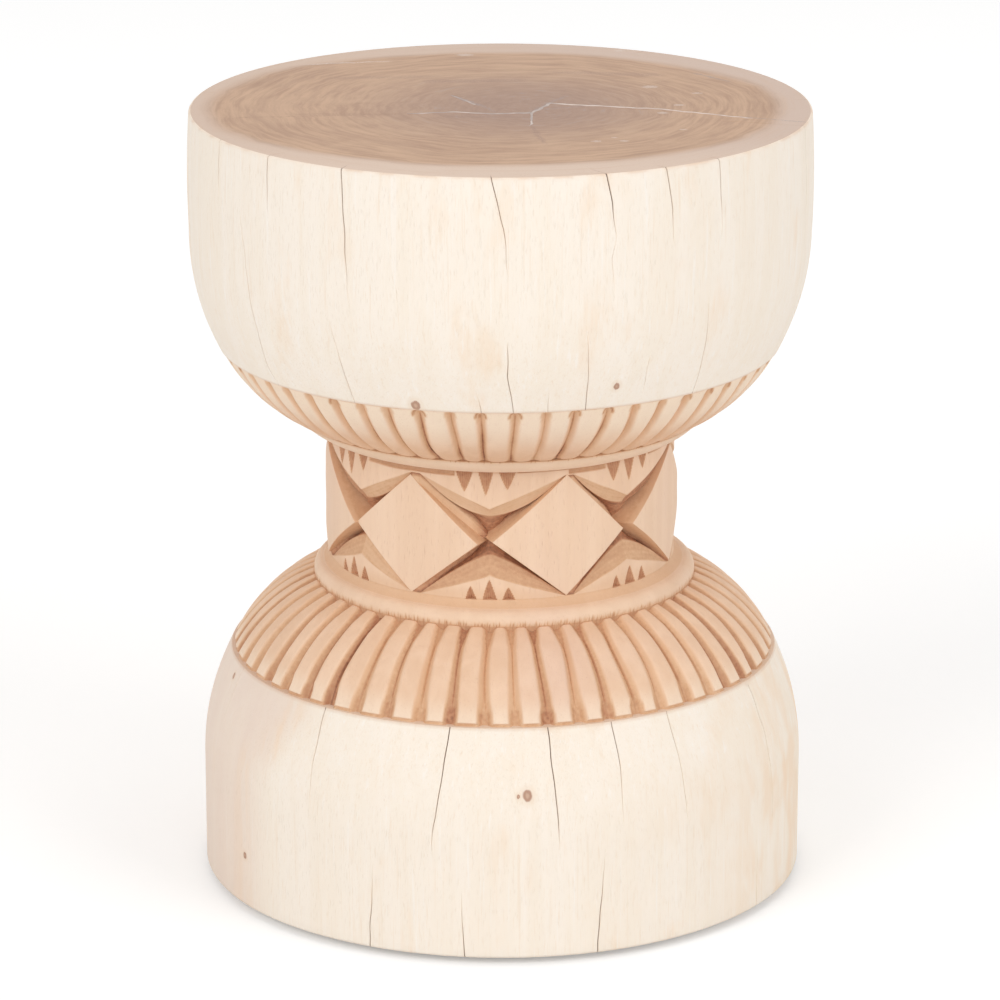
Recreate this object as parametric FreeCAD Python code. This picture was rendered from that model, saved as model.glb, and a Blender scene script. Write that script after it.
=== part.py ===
import FreeCAD, Part
import math
import os

# African drum table: a round side table carved from one log, on four felt glides.
# Millimetres, +Z up, origin on the floor under the centre of the table.
# Angles start at the front, which faces -Y, and grow towards +X.

# Heights of the carved zones, from the underside of the foot up to the top
foot_height = 129.0
flute_rise = 43.0
lower_collar_height = 12.0
neck_height = 71.0
upper_collar_height = 14.0
gadroon_rise = 40.0
bowl_height = 133.0

# Foot: an upright wall that rounds in to a scribed line under the flutes
foot_radius = 172.3
foot_wall_height = 64.0
foot_shoulder_inset = 16.2
foot_edge_ease = 2.0

# Flutes: flat ribs with round grooves between them, over a convex shoulder
flute_count = 55
flute_turn = 2.56
flute_ledge = 0.6
flute_bulge = 6.0
flute_groove_foot_depth = 3.4
flute_groove_head_depth = 1.8
flute_rib_share = 0.66

# Collars above and below the neck
lower_collar_overhang = 10.5
lower_collar_bulge = 2.6
upper_collar_overhang = 18.6
upper_collar_bulge = 1.4
undercut_overhang = 3.7
undercut_rise = 4.0

# Neck: a round core with slightly crowned diamonds standing on it, and sunk facets where their
# corners meet; the crown is how far a diamond's side corners lie behind its middle
diamond_count = 7
diamond_turn = -29.0
neck_face_distance = 98.9
diamond_proud = 0.4
diamond_crown = 6.8
diamond_margin = 0.5
diamond_corner_gap = 3.0
diamond_root = 26.0
leaf_top_height = 18.5
leaf_foot_height = 10.0
leaf_sink = 4.0
recess_sink = 11.0

# Chip-carved notches: three in each plain triangle between the diamonds, widest at the collar
notch_width = 9.6
notch_pitch = 12.0
notch_centre_height = 12.6
notch_side_height = 9.2
notch_sink = 3.2

# Gadroons: rounded lobes with narrow grooves between them, under the bowl
gadroon_count = 57
gadroon_turn = 2.52
gadroon_ledge = 0.6
gadroon_bulge = 5.0
gadroon_head_depth = 3.4
gadroon_foot_depth = 4.4
gadroon_shoulder_share = 0.36
gadroon_shoulder_drop_share = 0.22

# Bowl: a nearly upright side that rounds in to the line above the gadroons
bowl_radius = 175.2
bowl_side_height = 68.0
bowl_rim_draw = 0.7
bowl_side_swell = 0.9
bowl_shoulder_inset = 16.4
rim_ease = 1.5

# Drying check in the top, filled flush; its bends are shares of the top's radius, right and back
filler_depth = 9.0
filler_width = 2.6
filler_tip_width = 1.2
right_check_shares = [(0.098, -0.093), (0.159, 0.046), (0.340, 0.001), (0.509, -0.037), (0.799, -0.176)]
left_check_shares = [(0.098, -0.093), (-0.021, -0.109), (-0.142, -0.081), (-0.297, -0.108)]
front_check_shares = [(0.098, -0.093), (0.096, -0.287)]

# Screw-on felt glides
glide_count = 4
glide_circle_radius = 132.0
glide_turn = 45.0
glide_height = 4.0
cup_radius = 14.0
cup_web = 1.6
cup_lip_height = 1.4
felt_radius = 12.2
felt_side_clearance = 0.3
felt_hole_radius = 5.0
screw_radius = 1.6
screw_head_radius = 3.5
screw_head_height = 1.2
screw_length = 18.0
screw_hole_clearance = 0.3
pilot_clearance = 0.1
pilot_tip_clearance = 1.5

# How far cutting shapes run past what they cut, and how many outlines shape a carved band
overrun = 4.0
band_levels = 4

# Places that follow from the sizes above
underside_z = glide_height
foot_line_z = underside_z + foot_height
flute_top_z = foot_line_z + flute_rise
neck_base_z = flute_top_z + lower_collar_height
neck_top_z = neck_base_z + neck_height
collar_top_z = neck_top_z + upper_collar_height
bowl_line_z = collar_top_z + gadroon_rise
table_top_z = bowl_line_z + bowl_height
neck_middle_z = neck_base_z + neck_height / 2
foot_line_radius = foot_radius - foot_shoulder_inset
bowl_line_radius = bowl_radius - bowl_shoulder_inset
rim_radius = bowl_radius - bowl_rim_draw
core_radius = neck_face_distance - diamond_proud
lower_collar_radius = core_radius + lower_collar_overhang
undercut_radius = core_radius + undercut_overhang
upper_collar_radius = core_radius + upper_collar_overhang
diamond_half_height = neck_height / 2 - diamond_margin
corner_distance = neck_face_distance - diamond_crown
diamond_half_width = corner_distance * math.tan(math.pi / diamond_count) - diamond_corner_gap / 2
crown_radius = (diamond_half_width ** 2 + diamond_crown ** 2) / (2 * diamond_crown)
web_z = glide_height - cup_web

nodes = {}


def vector(x, y, z):
    return FreeCAD.Vector(x, y, z)


def place(radius, turn, height):
    # Point at a radius, a turn in degrees from the front and a height
    angle = math.radians(turn)
    return vector(radius * math.sin(angle), -radius * math.cos(angle), height)


def profile_point(radius, height):
    return vector(radius, 0, height)


def straight(start, end):
    return Part.makeLine(start, end)


def bulged(start, end, bulge):
    # Arc whose middle stands off the chord by the bulge, away from the table's axis
    along = end - start
    middle = (start + end) / 2
    outward = vector(-along.z, 0, along.x)
    outward.normalize()
    if outward.x < 0:
        outward = outward * -1
    return Part.Arc(start, middle + outward * bulge, end).toShape()


def upright_arc(start, end):
    # Arc that leaves its start upright, as a side that begins to round in
    inset = start.x - end.x
    rise = end.z - start.z
    arc_radius = (inset * inset + rise * rise) / (2 * inset)
    turn = math.asin(rise / arc_radius) / 2
    middle = vector(start.x - arc_radius * (1 - math.cos(turn)), 0, start.z + arc_radius * math.sin(turn))
    return Part.Arc(start, middle, end).toShape()


def turned(edges):
    # Solid of revolution of an outline that starts and ends on the axis
    return Part.Face(Part.Wire(edges)).revolve(vector(0, 0, 0), vector(0, 0, 1), 360)


def ring_of(shape, count, first_turn):
    # Copies of a shape around the axis
    copies = []
    for number in range(count):
        copy = shape.copy()
        copy.rotate(vector(0, 0, 0), vector(0, 0, 1), first_turn + number * 360 / count)
        copies.append(copy)
    return copies


def polygon_face(points):
    return Part.Face(Part.makePolygon(points + [points[0]]))


# Plain turned zones

def foot():
    axis_base = profile_point(0, underside_z)
    base = profile_point(foot_radius - foot_edge_ease, underside_z)
    wall_foot = profile_point(foot_radius, underside_z + foot_edge_ease)
    wall_top = profile_point(foot_radius, underside_z + foot_wall_height)
    line = profile_point(foot_line_radius, foot_line_z)
    axis_top = profile_point(0, foot_line_z)
    return turned([
        straight(axis_base, base),
        straight(base, wall_foot),
        straight(wall_foot, wall_top),
        upright_arc(wall_top, line),
        straight(line, axis_top),
        straight(axis_top, axis_base),
    ])


def collars_and_core():
    axis_base = profile_point(0, flute_top_z)
    lower_edge = profile_point(lower_collar_radius, flute_top_z)
    core_base = profile_point(core_radius, neck_base_z)
    core_top = profile_point(core_radius, neck_top_z)
    undercut_edge = profile_point(undercut_radius, neck_top_z + undercut_rise)
    upper_edge = profile_point(upper_collar_radius, collar_top_z)
    axis_top = profile_point(0, collar_top_z)
    return turned([
        straight(axis_base, lower_edge),
        bulged(lower_edge, core_base, lower_collar_bulge),
        straight(core_base, core_top),
        straight(core_top, undercut_edge),
        bulged(undercut_edge, upper_edge, upper_collar_bulge),
        straight(upper_edge, axis_top),
        straight(axis_top, axis_base),
    ])


def bowl():
    axis_base = profile_point(0, bowl_line_z)
    line = profile_point(bowl_line_radius, bowl_line_z)
    side_foot = profile_point(bowl_radius, table_top_z - bowl_side_height)
    rim = profile_point(rim_radius, table_top_z - rim_ease)
    top_edge = profile_point(rim_radius - rim_ease, table_top_z)
    axis_top = profile_point(0, table_top_z)
    round_under = bowl_round_under(side_foot, line)
    return turned([
        straight(axis_base, line),
        round_under,
        bulged(side_foot, rim, bowl_side_swell),
        straight(rim, top_edge),
        straight(top_edge, axis_top),
        straight(axis_top, axis_base),
    ])


def bowl_round_under(side_foot, line):
    # The foot's rounding turned upside down: upright at the side, then in to the line
    mirrored_side = profile_point(side_foot.x, -side_foot.z)
    mirrored_line = profile_point(line.x, -line.z)
    arc = upright_arc(mirrored_side, mirrored_line)
    return arc.mirror(vector(0, 0, 0), vector(0, 0, 1))


# Carved bands, each lofted through closed outlines of lobes or flutes

def band_places(start, end, bulge):
    # Radius and height of each outline, evenly along the band's arc, with how far along it is
    arc = bulged(start, end, bulge)
    first, last = arc.ParameterRange
    places = []
    for number in range(band_levels):
        share = number / (band_levels - 1)
        point = arc.valueAt(first + (last - first) * share)
        places.append((point.x, point.z, share))
    return places


def gadroon_outline(radius, height, depth):
    edges = []
    step = 360 / gadroon_count
    shoulder_radius = radius - depth * gadroon_shoulder_drop_share
    for number in range(gadroon_count):
        groove_turn = gadroon_turn + number * step
        crest_turn = groove_turn + step / 2
        groove = place(radius - depth, groove_turn, height)
        shoulder = place(shoulder_radius, crest_turn - step * gadroon_shoulder_share, height)
        crest = place(radius, crest_turn, height)
        far_shoulder = place(shoulder_radius, crest_turn + step * gadroon_shoulder_share, height)
        next_groove = place(radius - depth, groove_turn + step, height)
        edges.append(straight(groove, shoulder))
        edges.append(Part.Arc(shoulder, crest, far_shoulder).toShape())
        edges.append(straight(far_shoulder, next_groove))
    return Part.Wire(edges)


def flute_outline(radius, height, depth):
    edges = []
    step = 360 / flute_count
    for number in range(flute_count):
        groove_turn = flute_turn + number * step
        rib_turn = groove_turn + step / 2
        rib_start = place(radius, rib_turn - step * flute_rib_share / 2, height)
        rib = place(radius, rib_turn, height)
        rib_end = place(radius, rib_turn + step * flute_rib_share / 2, height)
        groove = place(radius - depth, groove_turn + step, height)
        next_rib = place(radius, rib_turn + step * (1 - flute_rib_share / 2), height)
        edges.append(Part.Arc(rib_start, rib, rib_end).toShape())
        edges.append(Part.Arc(rib_end, groove, next_rib).toShape())
    return Part.Wire(edges)


def gadroon_band():
    start = profile_point(upper_collar_radius - gadroon_ledge, collar_top_z)
    end = profile_point(bowl_line_radius - gadroon_ledge, bowl_line_z)
    outlines = []
    for radius, height, share in band_places(start, end, gadroon_bulge):
        depth = gadroon_foot_depth + (gadroon_head_depth - gadroon_foot_depth) * share
        outlines.append(gadroon_outline(radius, height, depth))
    return Part.makeLoft(outlines, True, False)


def flute_band():
    start = profile_point(foot_line_radius - flute_ledge, foot_line_z)
    end = profile_point(lower_collar_radius - flute_ledge, flute_top_z)
    outlines = []
    for radius, height, share in band_places(start, end, flute_bulge):
        depth = flute_groove_foot_depth + (flute_groove_head_depth - flute_groove_foot_depth) * share
        outlines.append(flute_outline(radius, height, depth))
    return Part.makeLoft(outlines, True, False)


# Neck

def pushed_out(floor_triangles, rim_points, push):
    # Closed solid between a floor of triangles and the same floor pushed out
    faces = []
    for triangle in floor_triangles:
        faces.append(polygon_face(triangle))
        faces.append(polygon_face([point + push for point in triangle]))
    for number, point in enumerate(rim_points):
        following = rim_points[(number + 1) % len(rim_points)]
        faces.append(polygon_face([point, following, following + push, point + push]))
    return Part.Solid(Part.makeShell(faces))


def corner_recess():
    # What is cut away around the meeting corners of two diamonds, here at the front: two leaf-shaped
    # facets above and two below slope in from the plain triangles, and steeper flanks go on from them
    # to the deepest point between the corners
    half_step = 180 / diamond_count
    top_z = neck_middle_z + diamond_half_height
    base_z = neck_middle_z - diamond_half_height
    leaf_rise = leaf_top_height - leaf_foot_height
    reach = (diamond_half_height - leaf_foot_height) / leaf_rise
    leaf_end_radius = core_radius - leaf_sink + leaf_sink * reach
    deepest = place(core_radius - recess_sink, 0, neck_middle_z)
    triangles = []
    rim_points = []
    for end_z, side in ((top_z, 1), (base_z, -1)):
        left = place(core_radius, -half_step * side, end_z)
        right = place(core_radius, half_step * side, end_z)
        leaf_end = place(leaf_end_radius, 0, end_z)
        leaf_foot = place(core_radius - leaf_sink, 0, neck_middle_z + leaf_foot_height * side)
        rim_points.extend([left, leaf_end, right])
        triangles.append([left, leaf_end, leaf_foot])
        triangles.append([leaf_end, right, leaf_foot])
        triangles.append([left, leaf_foot, deepest])
        triangles.append([leaf_foot, right, deepest])
    triangles.append([rim_points[2], rim_points[3], deepest])
    triangles.append([rim_points[5], rim_points[0], deepest])
    return pushed_out(triangles, rim_points, vector(0, -(leaf_end_radius + overrun), 0))


def diamond_block():
    # Diamond at the front, with a face crowned from side to side and walls square to it
    face = polygon_face([
        vector(0, -neck_face_distance, neck_middle_z + diamond_half_height),
        vector(diamond_half_width, -neck_face_distance, neck_middle_z),
        vector(0, -neck_face_distance, neck_middle_z - diamond_half_height),
        vector(-diamond_half_width, -neck_face_distance, neck_middle_z),
    ])
    block = face.extrude(vector(0, diamond_root, 0))
    crown_axis = vector(0, crown_radius - neck_face_distance, neck_base_z)
    return block.common(Part.makeCylinder(crown_radius, neck_height, crown_axis))


def notch(height, side):
    # Three-sided chip at the front: widest and deepest at the collar, running out to a point
    collar_z = neck_middle_z + side * neck_height / 2
    left = vector(-notch_width / 2, -core_radius, collar_z)
    right = vector(notch_width / 2, -core_radius, collar_z)
    tip = vector(0, -core_radius, collar_z - side * height)
    deep = vector(0, -core_radius + notch_sink, collar_z)
    return pushed_out([[left, deep, tip], [deep, right, tip]], [left, tip, right, deep], vector(0, -overrun, 0))


def neck_cuts():
    between_turn = diamond_turn + 180 / diamond_count
    notch_step = math.degrees(notch_pitch / core_radius)
    cuts = ring_of(corner_recess(), diamond_count, between_turn)
    for side in (1, -1):
        cuts.extend(ring_of(notch(notch_centre_height, side), diamond_count, between_turn))
        for sideways in (1, -1):
            first_turn = between_turn + sideways * notch_step
            cuts.extend(ring_of(notch(notch_side_height, side), diamond_count, first_turn))
    return cuts


# Drying check and its filler

def check_run(shares):
    # Thin strip that follows the bends and narrows from the pith to its tip
    bends = [vector(right * rim_radius, back * rim_radius, table_top_z) for right, back in shares]
    lefts = []
    rights = []
    for number, bend in enumerate(bends):
        before = bends[max(number - 1, 0)]
        after = bends[min(number + 1, len(bends) - 1)]
        along = after - before
        sideways = vector(-along.y, along.x, 0)
        sideways.normalize()
        share = number / (len(bends) - 1)
        half_width = (filler_width + (filler_tip_width - filler_width) * share) / 2
        lefts.append(bend + sideways * half_width)
        rights.append(bend - sideways * half_width)
    rights.reverse()
    return polygon_face(lefts + rights).extrude(vector(0, 0, -filler_depth))


def check_filler():
    pith = vector(right_check_shares[0][0] * rim_radius, right_check_shares[0][1] * rim_radius, table_top_z)
    pool = Part.makeCylinder(filler_width, filler_depth, pith, vector(0, 0, -1))
    runs = [check_run(left_check_shares), check_run(front_check_shares), pool]
    return check_run(right_check_shares).fuse(runs).removeSplitter()


# Glides

def glide_turns():
    return [glide_turn + number * 360 / glide_count for number in range(glide_count)]


def upright_cylinder(radius, low_z, high_z, turn):
    return Part.makeCylinder(radius, high_z - low_z, place(glide_circle_radius, turn, low_z))


def glide_cup(turn):
    lip_z = web_z - cup_lip_height
    cup = upright_cylinder(cup_radius, lip_z, glide_height, turn)
    pocket = upright_cylinder(felt_radius + felt_side_clearance, lip_z, web_z, turn)
    hole = upright_cylinder(screw_radius + screw_hole_clearance, web_z, glide_height, turn)
    return cup.cut([pocket, hole])


def glide_felt(turn):
    felt = upright_cylinder(felt_radius, 0, web_z, turn)
    return felt.cut(upright_cylinder(felt_hole_radius, 0, web_z, turn))


def glide_screw(turn):
    head = upright_cylinder(screw_head_radius, web_z - screw_head_height, web_z, turn)
    shank = upright_cylinder(screw_radius, web_z - screw_head_height, web_z + screw_length, turn)
    return head.fuse(shank)


def pilot_holes():
    radius = screw_radius + pilot_clearance
    top_z = web_z + screw_length + pilot_tip_clearance
    return [upright_cylinder(radius, underside_z, top_z, turn) for turn in glide_turns()]


# The table

def carved_body(filler):
    neck = collars_and_core().cut(neck_cuts())
    neck = neck.fuse(ring_of(diamond_block(), diamond_count, diamond_turn))
    body = foot().cut(pilot_holes())
    body = body.fuse([flute_band(), neck, gadroon_band(), bowl().cut(filler)])
    return body


nodes["check_filler"] = check_filler()
nodes["carved_body"] = carved_body(nodes["check_filler"])
for number, turn in enumerate(glide_turns()):
    nodes["glide_cup_" + str(number + 1)] = glide_cup(turn)
    nodes["glide_felt_" + str(number + 1)] = glide_felt(turn)
nodes["glide_screws"] = Part.makeCompound([glide_screw(turn) for turn in glide_turns()])

os.makedirs("parts", exist_ok=True)
for name, shape in nodes.items():
    shape.exportStep("parts/" + name + ".step")
    box = shape.BoundBox
    print(name, "solids", len(shape.Solids), "valid", shape.isValid(), "volume", round(shape.Volume),
          "z", round(box.ZMin, 2), "to", round(box.ZMax, 2))
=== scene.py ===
import math
import bpy
import numpy as np
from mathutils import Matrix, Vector


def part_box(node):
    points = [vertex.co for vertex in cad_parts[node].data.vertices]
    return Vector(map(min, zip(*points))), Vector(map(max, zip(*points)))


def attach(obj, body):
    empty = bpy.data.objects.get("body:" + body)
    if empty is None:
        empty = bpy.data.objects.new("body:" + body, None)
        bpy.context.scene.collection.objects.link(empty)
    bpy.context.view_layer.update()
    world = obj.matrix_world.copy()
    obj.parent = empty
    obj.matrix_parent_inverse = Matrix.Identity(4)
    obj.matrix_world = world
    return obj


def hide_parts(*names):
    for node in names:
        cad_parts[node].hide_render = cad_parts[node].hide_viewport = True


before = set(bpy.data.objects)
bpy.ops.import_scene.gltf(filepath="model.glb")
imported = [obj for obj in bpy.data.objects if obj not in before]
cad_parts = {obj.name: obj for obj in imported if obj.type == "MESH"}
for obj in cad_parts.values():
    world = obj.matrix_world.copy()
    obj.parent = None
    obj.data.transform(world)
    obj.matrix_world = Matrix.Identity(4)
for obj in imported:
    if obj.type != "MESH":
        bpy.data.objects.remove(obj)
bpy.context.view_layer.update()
print("frame loaded:", len(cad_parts), "nodes")

# The frame gives the scale: the carved body is this many millimetres high, and "mm" is one of them
bodyHeight = 442.0
bodyLow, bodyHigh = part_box("carved_body")
mm = (bodyHigh[2] - bodyLow[2]) / bodyHeight

# Heights in millimetres over the floor, and radii, of the lines that the carver worked to; hidden faces
# turn in to the radius "inner"
lines = {
    "under": 4.0, "footLine": 133.0, "fluteTop": 176.0, "neckBase": 188.0, "neckTop": 259.0,
    "collarTop": 273.0, "bowlLine": 313.0, "top": 446.0,
    "footRadius": 172.3, "footWall": 68.0, "footLineRadius": 156.1, "footEase": 2.0,
    "lowerCollarRadius": 109.0, "beadRadius": 103.0, "beadTop": 184.0, "coreRadius": 98.5,
    "undercutRadius": 102.2, "undercutRise": 4.0, "upperCollarRadius": 117.1,
    "bowlLineRadius": 158.8, "bowlRadius": 175.2, "bowlSide": 378.0,
    "rimRadius": 174.5, "rimEase": 1.5, "ledge": 0.6, "flushDrop": 0.2, "lap": 0.6, "inner": 60.0,
}

# The log isn't quite straight: at these heights its middle lies this far to the right
bow = {
    "heights": [0, 90, 133, 176, 180, 188, 192, 262, 275, 330, 385, 446],
    "drift": [0.85, 0.85, 1.5, 2.1, 2.1, 0.9, 0.6, 0.5, -0.6, -0.6, 0, 0],
}


# Camera

view = {
    "distance": 2724.6, "height": 1046.2, "pitch": 16.95, "focal": 4.98, "sensor": 36.0,
    "shift": (-0.0006, 0.0005),
}


def makeCamera():
    data = bpy.data.cameras.new("photo_camera")
    data.sensor_width = view["sensor"]
    data.lens = view["focal"] * view["sensor"]
    data.shift_x, data.shift_y = view["shift"]
    data.clip_end = 100
    camera = bpy.data.objects.new("photo_camera", data)
    bpy.context.scene.collection.objects.link(camera)
    camera.location = (0, -view["distance"] * mm, view["height"] * mm)
    camera.rotation_euler = (math.radians(90 - view["pitch"]), 0, 0)
    bpy.context.scene.camera = camera


makeCamera()
print("camera placed")


# Small numpy helpers

def smooth(values, low, high):
    # S-shaped step from 0 at low to 1 at high: three t squared less two t cubed
    t = np.clip((values - low) / (high - low), 0, 1)
    return t * t * (3 - 2 * t)


def fall(values, low, high):
    # S-shaped fall from 1 at low to 0 at high
    return 1 - smooth(values, low, high)


def ripple(turns, heights, seed, waves=7, fastest=9, perHeight=0.03):
    # Hand unevenness from -1 to 1: a mean of sines that run around the log and drift with height
    draw = np.random.default_rng(seed)
    total = 0
    for number in range(waves):
        around = draw.integers(1, fastest + 1)
        start = draw.uniform(0, 2 * np.pi)
        pace = draw.uniform(-perHeight, perHeight)
        total = total + np.sin(np.radians(turns) * around + heights * pace + start)
    return total / waves


def inMetres(*values):
    # Lengths in millimetres, in the scene's metres
    return tuple(value * mm for value in values)


def greatest(marks):
    # Largest of several marks at each point, and never under 0
    return np.clip(np.maximum.reduce(np.broadcast_arrays(*marks)), 0, None)


def driftAt(heights):
    return np.interp(heights, bow["heights"], bow["drift"])


def onLog(turns, radii, heights):
    # Points at turns in degrees from the front, radii and heights in millimetres: sine plus drift,
    # less cosine, up
    angle = np.radians(turns)
    x = radii * np.sin(angle) + driftAt(heights)
    y = -radii * np.cos(angle)
    return np.stack(np.broadcast_arrays(x, y, heights), axis=-1) * mm


def setOut(turns, radii, heights):
    # Marks are set out about a straight axis, so on the bowed log each turns back by the drift over the
    # radius times its cosine
    drift = driftAt(heights) / np.maximum(radii, lines["inner"])
    return turns - np.degrees(drift) * np.cos(np.radians(turns))


def pointOnLog(turn, radius, height):
    return tuple(float(value) for value in onLog(setOut(turn, radius, height), radius, height))


def endShares(count, pull):
    # Shares from 0 to 1 that lie closer together at both ends: even ones mixed with one half less half
    # a cosine
    even = np.linspace(0, 1, count)
    return even * (1 - pull) + (0.5 - 0.5 * np.cos(np.pi * even)) * pull


def bulgedArc(start, end, bulge, count, pull=0.0):
    # Points on the arc through start and end whose middle stands off the chord by bulge: centre plus
    # radius times the sine and cosine of the sweep. A negative bulge makes a hollow
    start, end = np.array(start, float), np.array(end, float)
    chord = end - start
    outward = np.array([-chord[1], chord[0]]) / np.hypot(*chord)
    if outward[0] < 0:
        outward = -outward
    radius = (np.dot(chord, chord) / 4 + bulge * bulge) / (2 * bulge)
    half = math.asin(np.hypot(*chord) / 2 / radius)
    sweep = half * (2 * endShares(count, pull) - 1)
    centre = (start + end) / 2 - outward * (radius - bulge)
    along = chord / np.hypot(*chord)
    return centre + radius * (np.cos(sweep)[:, None] * outward + np.sin(sweep)[:, None] * along)


def uprightInset(rise, fullRise, fullInset):
    # How far an arc that starts upright has come in after a rise: radius less root of radius squared
    # less rise squared, with the radius that reaches the full inset at the full rise
    radius = (fullInset ** 2 + fullRise ** 2) / (2 * fullInset)
    return radius - np.sqrt(radius ** 2 - np.clip(rise, 0, fullRise) ** 2)


def travelAlong(path):
    # Distance covered along a path at each of its points: a running sum of the lengths between them
    return np.concatenate([[0], np.cumsum(np.hypot(*np.diff(path, axis=0).T))])


def headings(path):
    # Direction of a path at each of its points, of length one
    along = np.gradient(path, axis=0)
    along /= np.hypot(along[:, 0], along[:, 1])[:, None]
    return along


# Mesh building

def latheFaces(rowCount, columnCount):
    # Quads between neighbouring rings and fans to a pole below and above; rings run from low to high
    ring = np.arange(columnCount)
    following = (ring + 1) % columnCount
    rows = np.arange(rowCount - 1)[:, None] * columnCount + 1
    quads = np.stack([rows + ring, rows + following, rows + columnCount + following,
                      rows + columnCount + ring], axis=-1).reshape(-1, 4)
    low = np.stack([following + 1, ring + 1, 0 * ring], axis=-1)
    lastRow = (rowCount - 1) * columnCount + 1
    high = np.stack([lastRow + ring, lastRow + following, 0 * ring + rowCount * columnCount + 1], axis=-1)
    return quads, np.concatenate([low, high])


def withPoles(rings):
    # The points of all rings, with a pole in the middle of the first and of the last
    ends = [rings[0].mean(axis=0), rings[-1].mean(axis=0)]
    return np.concatenate([ends[:1], rings.reshape(-1, 3), ends[1:]])


def buildMesh(name, points, quads, triangles, marks, sharpAngle):
    mesh = bpy.data.meshes.new(name)
    corners = np.concatenate([quads.ravel(), triangles.ravel()]).astype(np.int32)
    starts = np.concatenate([np.arange(len(quads)) * 4, len(quads) * 4 + np.arange(len(triangles)) * 3])
    mesh.vertices.add(len(points))
    mesh.vertices.foreach_set("co", np.asarray(points, np.float32).ravel())
    mesh.loops.add(len(corners))
    mesh.loops.foreach_set("vertex_index", corners)
    mesh.polygons.add(len(starts))
    mesh.polygons.foreach_set("loop_start", starts.astype(np.int32))
    mesh.update(calc_edges=True)
    mesh.polygons.foreach_set("use_smooth", np.ones(len(starts), bool))
    for markName, values in marks.items():
        mark = mesh.attributes.new(markName, "FLOAT", "POINT")
        mark.data.foreach_set("value", np.asarray(values, np.float32).ravel())
    if sharpAngle:
        mesh.set_sharp_from_angle(angle=math.radians(sharpAngle))
    mesh.validate()
    return mesh


def addPiece(name, mesh, material, replaced):
    piece = bpy.data.objects.new(name, mesh)
    bpy.context.scene.collection.objects.link(piece)
    mesh.materials.append(material)
    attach(piece, "root")
    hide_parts(replaced)
    print("piece", name, len(mesh.polygons), "faces")


def addWood(name, mesh, material):
    addPiece(name, mesh, material, "carved_body")


def latheMesh(name, turns, radii, heights, marks, poles, sharpAngle=38):
    # Closed skin of a turned or carved zone: rings of points, with a pole under the first ring and one
    # over the last
    rowCount, columnCount = radii.shape
    rings = onLog(np.broadcast_to(turns, radii.shape), radii, heights).reshape(-1, 3)
    lowPole, highPole = onLog(np.zeros(2), np.zeros(2), np.array(poles, float))
    points = np.concatenate([[lowPole], rings, [highPole]])
    quads, triangles = latheFaces(rowCount, columnCount)
    full = {}
    for markName, values in marks.items():
        full[markName] = np.concatenate([[0], np.broadcast_to(values, radii.shape).ravel(), [0]])
    return buildMesh(name, points, quads, triangles, full, sharpAngle)


# Shader maths: a socket that can be written in sums

class Value:
    def __init__(self, paint, socket):
        self.paint = paint
        self.socket = socket

    def maths(self, operation, *values):
        return self.paint.add("ShaderNodeMath", {"operation": operation}, values)

    def __add__(self, other):
        return self.maths("ADD", self, other)

    def __sub__(self, other):
        return self.maths("SUBTRACT", self, other)

    def __mul__(self, other):
        return self.maths("MULTIPLY", self, other)

    def __rsub__(self, other):
        return self.maths("SUBTRACT", other, self)

    __radd__ = __add__
    __rmul__ = __mul__

    def __abs__(self):
        return self.maths("ABSOLUTE", self)

    def most(self, other):
        return self.maths("MAXIMUM", self, other)

    def ramp(self, low, high, kind="LINEAR"):
        # Straight run from 0 at low to 1 at high
        values = {"Value": self, "From Min": low, "From Max": high}
        return self.paint.add("ShaderNodeMapRange", {"interpolation_type": kind}, values)

    def step(self, low, high):
        # Smooth step from 0 at low to 1 at high
        return self.ramp(low, high, "SMOOTHSTEP")


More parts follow.
